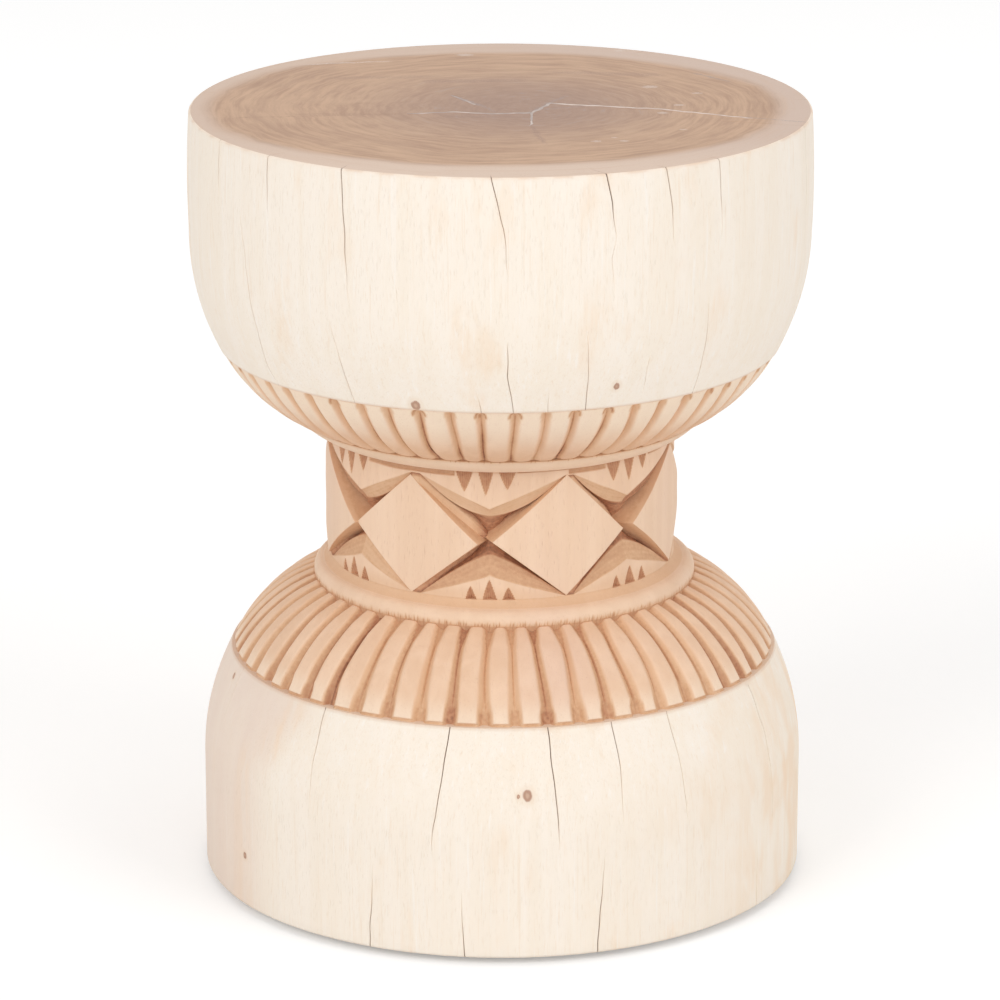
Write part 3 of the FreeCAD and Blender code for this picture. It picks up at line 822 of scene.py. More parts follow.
def bandColumns(grooves, perPeriod, radii):
    # Columns between each groove and the next, close together near the grooves: one half less half a
    # cosine. Gives their turns, the distance from the nearest groove, the period's width and the share
    # of it crossed
    share = 0.5 - 0.5 * np.cos(np.pi * np.arange(perPeriod) / perPeriod)
    following = np.concatenate([grooves[:, 1:], grooves[:, :1] + 360], axis=1)
    turns = grooves[:, :, None] + (following - grooves)[:, :, None] * share
    rows = len(grooves)
    width = (np.radians(following - grooves)[:, :, None] + 0 * share).reshape(rows, -1) * radii
    across = np.tile(share, grooves.shape[1])[None, :]
    away = np.minimum(across, 1 - across) * width
    return turns.reshape(rows, -1), away, width, across


def perGroove(values, across):
    # Gives every column the value of the groove that it is nearest to
    each = across.shape[1] // len(values)
    own = np.repeat(values, each)[None, :]
    nextOne = np.repeat(np.roll(values, -1), each)[None, :]
    return np.where(across < 0.5, own, nextOne)


def cutDepth(deep, away, half):
    # How far a V cut sinks at a distance from its floor, and v, which is one less that distance over the
    # cut's half width: its depth times v times three quarters plus a quarter of v
    vee = np.clip(1 - away / half, 0, 1)
    return deep * vee * (0.75 + 0.25 * vee), vee


def ruleBand(s, draw, start, end):
    # Lays a band's grooves over its profile arc. Gives the arc, and for each point its turn, its distance
    # from the nearest groove, the period's width and the share of it crossed, the distance from the
    # band's foot, that as a share of the whole, and the distance from its head
    arc = bulgedArc(start, end, s["bulge"], s["rows"], s["endPull"])
    travel = travelAlong(arc)
    grooves = grooveLines(s, travel, draw)
    turns, away, width, across = bandColumns(grooves, bands["perPeriod"], arc[:, :1])
    y = travel[:, None]
    return arc, turns, away, width, across, y, y / travel[-1], travel[-1] - y


def makeBand(name, arc, turns, sink, stain, cream):
    # Carved ring: the profile arc sunk along its normal, which is its direction turned by a quarter, and
    # closed by a cap at each end that laps a little into the next piece
    along = headings(arc)
    radii = arc[:, :1] - along[:, 1:] * sink
    low, high = arc[0, 1] - lines["lap"], arc[-1, 1] + lines["lap"]
    tall = np.clip(arc[:, 1:] + along[:, :1] * sink, low, high)
    ends = radii[:1] * 0
    capLow, capHigh = (ends + radii[row].min() - bands["cap"] for row in (0, -1))
    radii = np.concatenate([capLow, radii, capHigh])
    tall = np.concatenate([ends + low, tall, ends + high])
    turns, stain, cream = (np.concatenate([rows[:1], rows, rows[-1:]]) for rows in (turns, stain, cream))
    poles = (arc[0, 1] + bands["pole"], arc[-1, 1] - bands["pole"])
    mesh = latheMesh(name, setOut(turns, radii, tall), radii, tall, {"stain": stain, "cream": cream}, poles)
    addWood(name, mesh, bandWood)


gadroons = {
    "count": 57, "first": 2.52, "anchors": [], "rows": 68, "bulge": 5.0, "endPull": 0.45,
    "jitter": 0.3, "waver": 0.12, "seeds": {"cuts": 41, "tone": 43, "blotch": 45, "head": 47},
    "halfFoot": 3.4, "halfHead": 3.0, "depth": 2.2, "crown": 0.7, "footRun": 5.5, "footSpread": 2.2,
    "lineHalf": 0.5, "scoopUp": 4.3, "scoopHalf": 3.1, "scoopRise": 3.9, "scoopDish": 0.9, "roll": 0.25,
    # range of each cut's depth, tone, tone of its ring, size of its scoop and side of its blotch
    "slips": [(0.85, 1.15), (0.7, 1.3), (0.5, 1.5), (0.85, 1.15), (-1, 1)],
    "stains": {"line": (0.62, 0.30), "slopes": (0.40, 0.20), "foot": 0.62, "ring": 0.60, "scoop": 0.36,
               "blotch": 0.62, "lobes": 0.18, "headLine": (0.25, 0.5), "footLine": 0.5},
    "cream": 0.74,
}


def makeGadroons():
    # Petal-shaped lobes between V cuts, whose floor widens between the petals' round feet by a quarter
    # circle. At the head of each cut is a shallow scoop: an upturned U, sunk by its dish times one less
    # the square of the share of its half width and height. The deeper of cut and scoop counts, and to it
    # comes the lobe's crown: its height times the square of the share of half a period off the middle
    s = gadroons
    draw = np.random.default_rng(s["seeds"]["cuts"])
    start = (lines["upperCollarRadius"] - lines["ledge"], lines["collarTop"])
    end = (lines["bowlLineRadius"] - lines["ledge"], lines["bowlLine"])
    arc, turns, away, width, across, y, up, fromHead = ruleBand(s, draw, start, end)
    each, tone, ringTone, scoopSize, blotchSide = (
        perGroove(draw.uniform(least, most, s["count"]), across) for least, most in s["slips"])
    signed = np.where(across < 0.5, 1, -1) * away
    spread = s["footSpread"] * (1 - np.sqrt(1 - np.clip(1 - y / s["footRun"], 0, 1) ** 2))
    half = s["halfFoot"] + (s["halfHead"] - s["halfFoot"]) * up
    deep = s["depth"] * each * (0.25 + 0.75 * smooth(y, 0, 5.5)) * smooth(fromHead, 0.4, 3.2)
    cut, vee = cutDepth(deep, away - spread, half)
    rise = np.clip(s["scoopUp"] - fromHead, 0, None)
    scoop = np.hypot(away / (s["scoopHalf"] * scoopSize), rise / s["scoopRise"])
    scoopShare = fall(fromHead, 7, 13)
    dish = s["scoopDish"] * scoopSize * np.clip(1 - scoop ** 2, 0, 1) * scoopShare
    crown = s["crown"] * (1 - away * 2 / width) ** 2 * (0.4 + 0.6 * up)
    roll = s["roll"] * fall(y, 0, 1.8)
    sink = (np.maximum(cut, dish) + crown + roll) * smooth(fromHead, 0.1, 1.0)
    # Stain: dark floor line, warm slopes, brown triangles at the feet and a brown edge round each scoop. The
    # slopes' soft gradient from the line out onto the lobe, and the darker tone towards the band's foot, are
    # partly painted shade of the rounded lobes
    tones = s["stains"]
    uneven = 0.8 + 0.5 * ripple(turns, y, s["seeds"]["tone"], 6, 90, 0.25)
    floorLine = fall(away, s["lineHalf"] * 0.4, s["lineHalf"] * (1.3 + 1.2 * (1 - up)))
    floorLine = floorLine * smooth(fromHead, 2.0, 5.0) * (tones["line"][0] + tones["line"][1] * (1 - up))
    floorLine = floorLine * uneven
    slopes = smooth(vee, 0, 0.8) * (tones["slopes"][0] + tones["slopes"][1] * (1 - up)) * uneven
    foot = fall(away, spread * 0.7, spread + 0.9) * fall(y, 1.5, 6.0)
    ring = np.exp(-((scoop - 0.95) / 0.26) ** 2) * fall(fromHead, 4.0, 6.8)
    ring = ring * ringTone * tones["ring"]
    inScoop = fall(scoop, 0.6, 1.1) * scoopShare * tones["scoop"]
    blotch = np.exp(-((signed - blotchSide * 2.2) / 1.1) ** 2) * fall(fromHead, 4, 11)
    blotch = blotch * tones["blotch"]
    blotch = blotch * (0.6 + 0.8 * ripple(turns, y, s["seeds"]["blotch"], 7, 200, 0.9))
    blotch = blotch * smooth(fromHead, 0.3, 1.5)
    lobes = tones["lobes"] * fall(up, 0.05, 0.65)
    patchy = smooth(ripple(turns, 0, s["seeds"]["head"], 9, 60), -0.1, 0.3)
    headLine = fall(fromHead, 0.15, 0.8) * (tones["headLine"][0] + tones["headLine"][1] * patchy)
    footLine = fall(y, 0.15, 0.7) * tones["footLine"]
    stain = greatest([floorLine * tone, slopes * tone, foot * tones["foot"], ring, inScoop, blotch, lobes,
                      headLine, footLine])
    # cream on the lobes' middles and upper part: partly the bleached wood, partly painted light where the
    # rounded lobes face the light
    cream = s["cream"] * smooth(up, 0.25, 0.85) * smooth(away, 1.5, 4.0)
    makeBand("gadroon_band", arc, turns, sink, stain, cream)


flutes = {
    "count": 55, "first": 2.56, "rows": 70, "bulge": 6.0, "endPull": 0.4,
    "jitter": 0.25, "waver": 0.2,
    "seeds": {"cuts": 57, "rough": 61, "ledgeTone": 63, "ragged": 65, "ledge": 67},
    "halfFoot": 4.3, "halfHead": 3.0, "depthFoot": 3.3, "depthHead": 2.7, "crown": 0.3, "headEnd": 0.7,
    "innerRun": 15.0, "innerHalf": 2.9, "outerRun": 15.0, "outerFloor": 1.7,
    "ledge": 2.2, "ledgeSink": 1.2, "lineHalf": 0.6,
    # range of each cut's tone, depth, sideways slip and length of its scoops
    "slips": [(0.65, 1.1), (0.85, 1.18), (-0.5, 0.5), (0.75, 1.2)],
    # number and turn of the grooves that were set out first; the others share what lies between
    "anchors": [(-11, -72.9), (-6, -38.5), (-2, -10.2), (1, 9.4), (3, 22.8), (5, 35.7), (9, 61.3)],
    # turn of each groove that a drying check has darkened, and how much
    "darkened": [(-38.5, 1.3), (-10.2, 1.4), (9.4, 1.35), (22.8, 1.15), (61.3, 1.1), (120.3, 1.3),
                 (-149.0, 1.3)],
    # of "line" and of "slopes", the second value is painted shade that deepens towards the sides
    "stains": {"line": (0.56, 0.46), "slopes": (0.37, 0.26, 0.08), "inner": 0.64, "outer": 0.72,
               "ledge": (0.50, 0.16), "footLine": 0.85, "headLine": 0.5, "tips": 0.10},
    "cream": (0.08, 0.44),
}


def makeFlutes():
    # Flat ribs with V cuts between, whose floor widens into a scoop at each end. A narrow ledge runs
    # along the outer ends of the ribs. The deeper of cut and ledge counts, and to it comes the rib's
    # crown: its height times the square of the share of half a period off the middle
    s = flutes
    draw = np.random.default_rng(s["seeds"]["cuts"])
    start = (lines["footLineRadius"] - lines["ledge"], lines["footLine"])
    end = (lines["lowerCollarRadius"] - lines["ledge"], lines["fluteTop"])
    arc, turns, away, width, across, y, inward, fromHead = ruleBand(s, draw, start, end)
    slips = [draw.uniform(least, most, s["count"]) for least, most in s["slips"]]
    for turn, dark in s["darkened"]:
        apart = np.abs((turns[0, ::bands["perPeriod"]] - turn + 180) % 360 - 180)
        slips[0][apart.argmin()] = dark
    tone, each, lean, run = (perGroove(values, across) for values in slips)
    wedge = s["innerHalf"] * np.clip(1 - fromHead / (s["innerRun"] * run), 0, 1) ** 0.7
    outer = s["outerFloor"] * fall(y, 6.0, s["outerRun"] * run)
    floor = (wedge * 0.4 + outer) * each
    half = s["halfFoot"] + (s["halfHead"] - s["halfFoot"]) * smooth(inward, 0.1, 0.8)
    half = half * (0.72 + 0.28 * smooth(y, 6, 16))
    deep = (s["depthFoot"] + (s["depthHead"] - s["depthFoot"]) * inward) * each
    cut, vee = cutDepth(deep, away - floor, half)
    crown = s["crown"] * (1 - away * 2 / width) ** 2
    ledge = s["ledgeSink"] * fall(y, s["ledge"] - 0.25, s["ledge"] + 0.25)
    headEnd = s["headEnd"] * fall(fromHead, 0.2, 1.2)
    sink = np.maximum(cut, ledge) + crown + headEnd
    # Stain: floor line, warm slopes, lens-shaped scoops at the inner ends, rough brown outer scoops; floor
    # lines and slopes also carry painted shade that deepens on the sides
    tones = s["stains"]
    fromLine = np.abs(np.where(across < 0.5, 1, -1) * away + lean) * (0.5 + 0.5 * smooth(y, 0, 12))
    floorLine = fall(fromLine, s["lineHalf"] * 0.4, s["lineHalf"] * 1.7)
    # painted shade, not stain: slopes and floor lines darken towards the sides, above all on the right
    sideways = np.sin(np.radians(turns)) ** 2 * (1.3 + 0.2 * np.sin(np.radians(turns)))
    least, paintedSideShade, outside = tones["slopes"]
    slopes = least + paintedSideShade * sideways + outside * fall(inward, 0.1, 0.5)
    slopes = smooth(vee, 0.0, 0.45) * slopes
    innerScoop = fall(away / np.maximum(wedge, 0.05), 0.8, 1.15) * (wedge > 0.2) * tones["inner"]
    reach = (away - floor) / half
    ragged = 2.5 * ripple(turns, 0, s["seeds"]["ragged"], 7, 150)
    outerScoop = fall(reach, 0.28, 0.5) * fall(y + ragged, 9, 13.5 * run)
    outerScoop = outerScoop * smooth(y, 0.8, 2.2)
    rough = 0.85 + 0.3 * ripple(turns, y, s["seeds"]["rough"], 9, 300, 2.0)
    frayed = y + 0.35 * ripple(turns, 0, s["seeds"]["ledge"], 9, 120)
    patchy = ripple(turns, y, s["seeds"]["ledgeTone"], 9, 90, 0.5)
    onLedge = fall(frayed, s["ledge"] - 0.3, s["ledge"] + 0.2)
    onLedge = onLedge * (tones["ledge"][0] + tones["ledge"][1] * patchy)
    footLine = fall(y, 0.1, 0.55) * tones["footLine"]
    headLine = fall(fromHead, 0.2, 1.0) * tones["headLine"]
    tips = tones["tips"] * fall(fromHead, 4, 30)
    # floor line, darkened on the sides by painted shade
    onLine = floorLine * (tones["line"][0] + tones["line"][1] * sideways)
    stain = greatest([onLine * tone, slopes * tone, innerScoop * tone,
                      outerScoop * rough * tones["outer"] * tone, onLedge, footLine, headLine, tips])
    bare = fall(vee, 0, 0.3)
    cream = (s["cream"][0] + s["cream"][1] * fall(inward, 0.03, 0.28)) * bare
    makeBand("fluted_shoulder", arc, turns, sink, stain, cream)


makeGadroons()
makeFlutes()


# Collars

collars = {
    "columns": 1800, "nickSink": 0.4, "hidden": 0.62, "nickStain": 0.8, "edgeStain": 0.42, "edgeRun": 1.3,
    # bulge, rows and tone of each profile arc; radii and heights of the hidden rings under and over; and
    # the row of each nicked edge with the share of columns that are nicked and the longest nick
    "lower_collar": {
        "arcs": [(2.3, 16, 0.05), (-0.2, 10, 0.32)], "cream": 0.28, "seed": 61, "nicks": [(0, 0.34, 4.2)],
        "under": ((lines["inner"], 108.6, 108.95), (172.6, 172.6, 175.5)),
        "over": ((88.0, lines["inner"]), (188.0, 188.0)),
    },
    "upper_collar": {
        # painted light: the upper collar's bare tone of 0 and its strong cream lighten it against the shade
        # under the gadroon band
        "arcs": [(1.4, 22, 0.0)], "cream": 0.42, "seed": 67, "nicks": [(0, 0.03, 3.0), (21, 0.08, 2.4)],
        "under": ((lines["inner"], 88.0, 98.5), (262.2, 262.2, 262.2)),
        "over": ((115.4, 112.0, lines["inner"]), (274.2, 275.2, 275.2)),
    },
}


def makeCollar(name, points):
    # Profile arcs through the given points. Tool nicks start at the edges: at a random part of the
    # columns they run in by a random length, sunk by the nick's depth and fading with the distance
    s = collars
    own = s[name]
    arcs = [bulgedArc(start, end, bulge, rows)
            for start, end, (bulge, rows, tone) in zip(points, points[1:], own["arcs"])]
    arcs = [arcs[0]] + [later[1:] for later in arcs[1:]]
    tones = [np.full(len(rows), kind[2]) for rows, kind in zip(arcs, own["arcs"])]
    arc = np.concatenate(arcs)
    (underRadii, underHeights), (overRadii, overHeights) = own["under"], own["over"]
    radii = np.concatenate([underRadii, arc[:, 0], overRadii])[:, None]
    heights = np.concatenate([underHeights, arc[:, 1], overHeights])[:, None]
    draw = np.random.default_rng(own["seed"])
    turns = np.arange(s["columns"]) * 360 / s["columns"]
    nicks, warm = 0, 0
    for spot, share, longest in own["nicks"]:
        fromEdge = np.hypot(radii - arc[spot, 0], heights - arc[spot, 1])
        cut = (draw.random(s["columns"]) < share) * draw.uniform(0.4, 1, s["columns"])
        cut = np.maximum(cut, np.roll(cut, 1) * 0.6)
        run = longest * draw.uniform(0.25, 1, s["columns"])
        nicks = np.maximum(nicks, cut * fall(fromEdge / run, 0.3, 1.0))
        warm = np.maximum(warm, np.exp(-fromEdge / s["edgeRun"]))
    soft = ripple(turns[None, :], heights, own["seed"] + 1, 6, 12) - 1
    grid = radii - nicks * s["nickSink"] + soft * 0.12
    tall = np.broadcast_to(heights, grid.shape)
    hidden = [np.full(len(rows), s["hidden"]) for rows in (underRadii, overRadii)]
    body = np.concatenate([hidden[0], *tones, hidden[1]])[:, None]
    wash = 0.06 * ripple(turns[None, :], heights, own["seed"] + 2, 7, 30, 0.3)
    stain = greatest([nicks * s["nickStain"], warm * s["edgeStain"] + 0 * grid, body + wash])
    marks = {"stain": stain, "cream": own["cream"] * (body < 0.2) + 0 * stain}
    poles = (heights[0, 0], heights[-1, 0])
    mesh = latheMesh(name, setOut(turns[None, :], grid, tall), grid, tall, marks, poles)
    addWood(name, mesh, bandWood)


makeCollar("lower_collar", [(lines["lowerCollarRadius"], lines["fluteTop"]),
                            (lines["beadRadius"], lines["beadTop"]),
                            (lines["coreRadius"], lines["neckBase"])])
makeCollar("upper_collar", [(lines["undercutRadius"], lines["neckTop"] + lines["undercutRise"]),
                            (lines["upperCollarRadius"], lines["collarTop"])])


# Neck

neck = {
    "count": 7, "first": -29.0, "columns": 1204, "flat": 98.9, "crownRadius": 134.7, "short": 2.2,
    "proud": {2: 0.4, 3: 1.4, 6: 1.2}, "valley": 0.45, "valleyRun": 12.0, "wallRise": 0.5,
    "halfHeight": 35.0, "cornerIn": 1.5, "leafDepth": 3.6, "flankDepth": 7.4, "hollow": 0.10,
    "rows": (16, 14, 14, 34), "notchSink": 3.0, "stripSink": 0.8, "strip": 3.6,
    "perSide": 26, "faceDepth": 0.3, "seed": 71, "notchPower": 1.25, "leafSharp": 16, "faceSharp": 30,
    # scale and depth behind the face of each outline of a diamond, from its root to the middle
    "outlines": [(0.98, 24.0), (1.0, 12.0), (1.0, 4.0), (1.0, 0.35), (0.991, 0.05), (0.95, 0), (0.86, 0),
                 (0.7, 0), (0.5, 0), (0.3, 0), (0.12, 0)],
    "stains": {"flank": 0.76, "paintedWallLight": 0.36, "valley": 0.20, "grain": 0.10, "creases": 0.55,
               "leafGrain": 0.06, "strip": 0.64, "foot": 0.40, "wall": (0.26, 0.26), "root": 0.7},
    "cream": 0.16, "faceCream": 0.26,
    # how far along the core each meeting line lies from midway between two diamonds
    "meetings": (-1.0, -5.0, 0.0, 1.0, -1.0, 0.0, 3.0),
    # right, upper, left and lower corner of each measured diamond, and the usual ones
    "corners": {
        0: [(36.75, -3.0), (-3.0, 33.5), (-41.25, -1.25), (-2.75, -35.0)],
        1: [(34.5, -1.25), (-1.5, 35.2), (-43.25, -1.25), (-1.75, -34.75)],
        2: [(39.5, -1.5), (-1.0, 34.8), (-48.0, 0.6), (-1.0, -34.4)],
        6: [(47.5, -1.5), (-1.0, 34.6), (-40.5, -1.5), (-1.0, -33.2)],
    },
    "usual": [(39.5, -1.5), (-1.0, 34.6), (-40.5, -1.5), (-1.0, -34.9)],
}

# Each half: where leaf and flank start on a meeting line, and for each of its seven notch groups the slip
# along the core; then the stain of the leaf left and right of each meeting line, which also holds painted
# shade: leaves turned away from the front are darker
upperHalf = {
    "name": "neck_upper", "side": 1, "seed": 73,
    "outers": (17.0, 16.5, 15.5, 18.0, 17.0, 15.5, 17.0), "depthShares": (1, 1, 0.55, 1, 1, 0.5, 1),
    "inner": 12.7, "bend": 1.87, "pitch": 12.0, "pitStain": 0.84, "wash": 0.0, "rise": 38.7, "paintedLightFrom": 0.42,
    "heights": (12.4, 14.8, 10.3), "widths": (10.7, 9.3, 9.4), "notchStain": 0.75,
    "strips": ((1, 0.16), (1, 0.8), (1, 0), (0.7, 1), (1, 1), (0, 1), (0.6, 1)),
    "slips": (-2.1, 1.7, 1.0, -2.5, 1.5, -2.0, -9.9),
    "leaves": ((0.35, 0.38), (0.42, 0.90), (0.5, 0.6), (0.46, 0.52), (0.6, 0.44), (0.5, 0.55), (0.74, 0.42)),
}
lowerHalf = {
    "name": "neck_lower", "side": -1, "seed": 79,
    "outers": (21.3, 20.5, 17.0, 21.0, 21.5, 17.0, 21.0), "depthShares": (1, 1, 0.55, 1, 1, 0.5, 1),
    "inner": 10.5, "bend": 1.35, "pitch": 10.6, "pitStain": 0.94, "wash": 0.20, "rise": 35.5, "paintedLightFrom": 1.2,
    "heights": (7.5, 11.5, 8.0), "widths": (6.7, 8.8, 7.4), "notchStain": 0.79,
    "strips": ((0, 0),) * 7,
    "slips": (-0.2, 2.7, 0.8, -2.0, 2.5, -0.5, -8.0),
    "leaves": ((0.60, 0.60), (0.56, 0.50), (0.5, 0.5), (0.46, 0.52), (0.5, 0.44), (0.5, 0.5), (0.52, 0.42)),
}


def makeNeckHalf(shape):
    # Half of the neck's core, above or below the diamonds' middle. In millimetres along the core from
    # the line where two diamonds meet (u) and off their middle (v), a leaf lies between a straight outer
    # line and a curved inner one, and a flank between that and the diamond's edge. Each sinks by its
    # depth times the share crossed, the leaf with a slight hollow added as a sine, and past its valley
    # the flank rises again by half its depth. A notch sinks by its depth times one less its height share
    # less its width share to the power 1.25. The rows follow the leaf's lines and the valley, so the
    # creases are sharp
    s = neck
    name, side, seed = shape["name"], shape["side"], shape["seed"]
    core = lines["coreRadius"]
    middle = (lines["neckBase"] + lines["neckTop"]) / 2
    fullRise = shape["rise"]
    step = 360 / s["count"]
    turns = np.arange(s["columns"]) * 360 / s["columns"] + s["first"]
    sector = np.floor((turns - s["first"]) / step + 1e-6).astype(int)
    shift = np.array(s["meetings"])[sector]
    fromMeeting = np.radians(turns - s["first"] - step / 2 - sector * step) * core - shift
    reach = np.radians(step / 2) * core - np.sign(fromMeeting) * shift - s["short"]
    u = np.abs(fromMeeting)
    along = np.clip(u / reach, 0, 1)
    top = s["halfHeight"]
    outerStart = np.array(shape["outers"])[sector]
    outer = np.minimum(outerStart + (top - outerStart) * along, fullRise - 0.4)
    inner = np.minimum(shape["inner"] + (top - shape["inner"]) * along ** shape["bend"], outer - 0.3)
    edge = top * np.clip((u - s["cornerIn"]) / (reach - s["cornerIn"]), 0, 1)
    valley = 1 - (1 - s["valley"]) * smooth(u, 0, s["valleyRun"])
    low = inner - valley * np.maximum(inner - edge, 0.5)
    lowShare, flankShares, leafShares, highShare = (np.linspace(0, 1, count)[:, None] for count in s["rows"])
    v = np.concatenate([low * lowShare, low + (inner - low) * flankShares[1:],
                        inner + (outer - inner) * leafShares[1:], outer + (fullRise - outer) * highShare[1:]])
    leaf = np.clip((outer - v) / (outer - inner), 0, 1)
    flank = np.clip((inner - v) / np.maximum(inner - edge, 0.5), 0, 1)
    depthShare = np.array(shape["depthShares"])[sector]
    leafDeep = s["leafDepth"] * np.sqrt(1 - along ** 2) * depthShare
    flankDeep = s["flankDepth"] * (1 - along) ** 1.1 * depthShare
    wall = np.clip((flank - valley) / np.maximum(1 - valley, 0.02), 0, 1)
    sink = leafDeep * (leaf + s["hollow"] * np.sin(np.pi * leaf))
    sink = sink + flankDeep * (np.clip(flank / valley, 0, 1) - s["wallRise"] * wall)
    draw = np.random.default_rng(seed)
    across = fromMeeting - np.array(shape["slips"])[sector]
    fromCollar = fullRise - v
    chip = np.zeros_like(v)
    for number, (tall, wide) in enumerate(zip(shape["heights"], shape["widths"])):
        tall = tall * draw.uniform(0.94, 1.06, s["count"])[sector]
        wide = wide * draw.uniform(0.94, 1.04, s["count"])[sector]
        offset = np.abs(across - (number - 1) * shape["pitch"])
        chip = np.maximum(chip, 1 - fromCollar / tall - (offset / (wide / 2)) ** s["notchPower"])
    inNotch = smooth(chip, 0.0, 0.06)
    clear = smooth(np.abs(across), shape["pitch"] * 1.42, shape["pitch"] * 1.5)
    rightSide = (fromMeeting > 0).astype(int)
    stripShare = np.array(shape["strips"])[sector, rightSide]
    height = s["strip"] * stripShare * (1 + 0.25 * ripple(turns, 0, seed + 3, 7, 30))
    strip = fall(fromCollar / np.maximum(height, 0.01), 0.8, 1.05) * clear * (stripShare > 0)
    wave = (ripple(turns[None, :], v, seed, 9, 60, 0.2) - 1) * 0.10
    radii = core - sink - np.clip(chip, 0, 1) * s["notchSink"] - strip * s["stripSink"] + wave
    # stain of the leaf on each side, partly painted shade: darker where the leaf turns away from the front
    leafStainAndShade = np.array(shape["leaves"])[sector, rightSide]
    grainLines = np.sin(flank * 17 + leaf * 9 + 2.5 * np.sin(u * 0.13 + sector)) * 0.5
    grainLines = grainLines + np.sin(flank * 41 + leaf * 23 + 3 * np.sin(u * 0.09 + sector * 2)) * 0.5
    onLeaf = smooth(leaf, 0.0, 0.08) * fall(flank, 0, 0.06)
    onFlank = smooth(flank, 0.0, 0.06)
    nearPit = np.exp(-(u / 7) ** 2) * fall(v, 8, 16)
    paintedLightFrom = shape["paintedLightFrom"]
    tones = s["stains"]
    inValley = np.exp(-(wall / 0.06) ** 2) * (flank > 0.1)
    # painted light: from paintedLightFrom on, the flank lightens up to the diamond's wall, where light from
    # above falls in the upper half; the lower half's value lies past the wall, so there it stays dark
    flankStain = tones["flank"] - tones["paintedWallLight"] * smooth(wall, paintedLightFrom, paintedLightFrom + 0.3)
    flankStain = flankStain + tones["valley"] * inValley
    flankStain = flankStain + (shape["pitStain"] - flankStain) * nearPit + tones["grain"] * grainLines
    creases = np.exp(-np.abs(v - outer) / 0.35) + np.exp(-np.abs(v - inner) / 0.4)
    creases = tones["creases"] * creases * (along < 0.98)
    notchStain = shape["notchStain"] + 0.10 * np.sin(across * 5.1 + np.sin(v * 0.9))
    foot = greatest([tones["foot"] * fall(fromCollar, 0.3, 1.4),
                     shape["wash"] * fall(fromCollar, 2, 10)])
    stain = greatest([onLeaf * (leafStainAndShade + tones["leafGrain"] * grainLines), onFlank * flankStain,
                      creases * (0.6 + 0.4 * grainLines), inNotch * notchStain, strip * tones["strip"], foot])
    stain = np.clip(stain, 0, 1.1)
    cream = s["cream"] * fall(leaf, 0, 0.05) * (1 - inNotch)
    rings = [radii, middle + side * v, stain, cream]
    hidden = radii[:1] * 0 + lines["inner"]
    inside = [hidden] + [ring[:1] for ring in rings[1:]]
    outside = [hidden] + [ring[-1:] for ring in rings[1:]]
    closed = [np.concatenate(rows) for rows in zip(inside, rings, outside)]
    if side < 0:
        closed = [rows[::-1] for rows in closed]
    radii, heights, stain, cream = closed
    marks = {"stain": stain, "cream": cream}
    poles = (heights[0, 0], heights[-1, 0])
    mesh = latheMesh(name, turns[None, :], radii, heights, marks, poles, s["leafSharp"])
    addWood(name, mesh, bandWood)


def makeDiamond(number):
    # Diamond with a gently crowned face and a small bevel: scaled copies of a four-cornered outline,
    # carried from the middle of the face to its edge, over the bevel and back along the walls into the
    # neck. The crown falls away as a circle: its radius less the root of its square less u squared
    s = neck
    draw = np.random.default_rng(s["seed"] + number)
    middle = (lines["neckBase"] + lines["neckTop"]) / 2
    corners = np.array(s["corners"].get(number, s["usual"] + draw.uniform(-0.6, 0.6, (4, 2))))
    share = (np.arange(s["perSide"]) / s["perSide"])[None, :, None]
    following = np.roll(corners, -1, axis=0)
    outline = (corners[:, None, :] * (1 - share) + following[:, None, :] * share).reshape(-1, 2)
    scales, depths = np.array(s["outlines"]).T[:, :, None]
    centre = corners.mean(axis=0)
    u = centre[0] + (outline[:, 0] - centre[0]) * scales
    v = centre[1] + (outline[:, 1] - centre[1]) * scales
    back = depths + 0 * u
    hand = 0.14 * (np.sin(u * 0.21 + number) + np.sin(v * 0.27 + number * 2.1) - 2) * 0.5
    crown = s["crownRadius"] - np.sqrt(s["crownRadius"] ** 2 - u ** 2)
    onFace = back < s["faceDepth"]
    out = s["flat"] + s["proud"].get(number, 0) - back - crown + np.where(onFace, hand, 0)
    turn = math.radians(s["first"] + number * 360 / s["count"])
    x = u * math.cos(turn) + out * math.sin(turn) + driftAt(middle)
    y = u * math.sin(turn) - out * math.cos(turn)
    points = withPoles(np.stack([x, y, middle + v], axis=-1) * mm)
    quads, triangles = latheFaces(len(scales), len(outline))
    least, further = s["stains"]["wall"]
    stain = np.where(onFace, 0.0, least + further * smooth(back, 1.0, 5.0))
    cream = onFace * s["faceCream"]
    marks = {"stain": np.concatenate([[s["stains"]["root"]], stain.ravel(), [0]]),
             "cream": np.concatenate([[0], cream.ravel(), [s["faceCream"]]])}
    name = "diamond_%d" % (number + 1)
    addWood(name, buildMesh(name, points, quads, triangles, marks, s["faceSharp"]), bandWood)


makeNeckHalf(upperHalf)
makeNeckHalf(lowerHalf)
for diamondNumber in range(neck["count"]):
    makeDiamond(diamondNumber)


# Filler of the drying check in the top

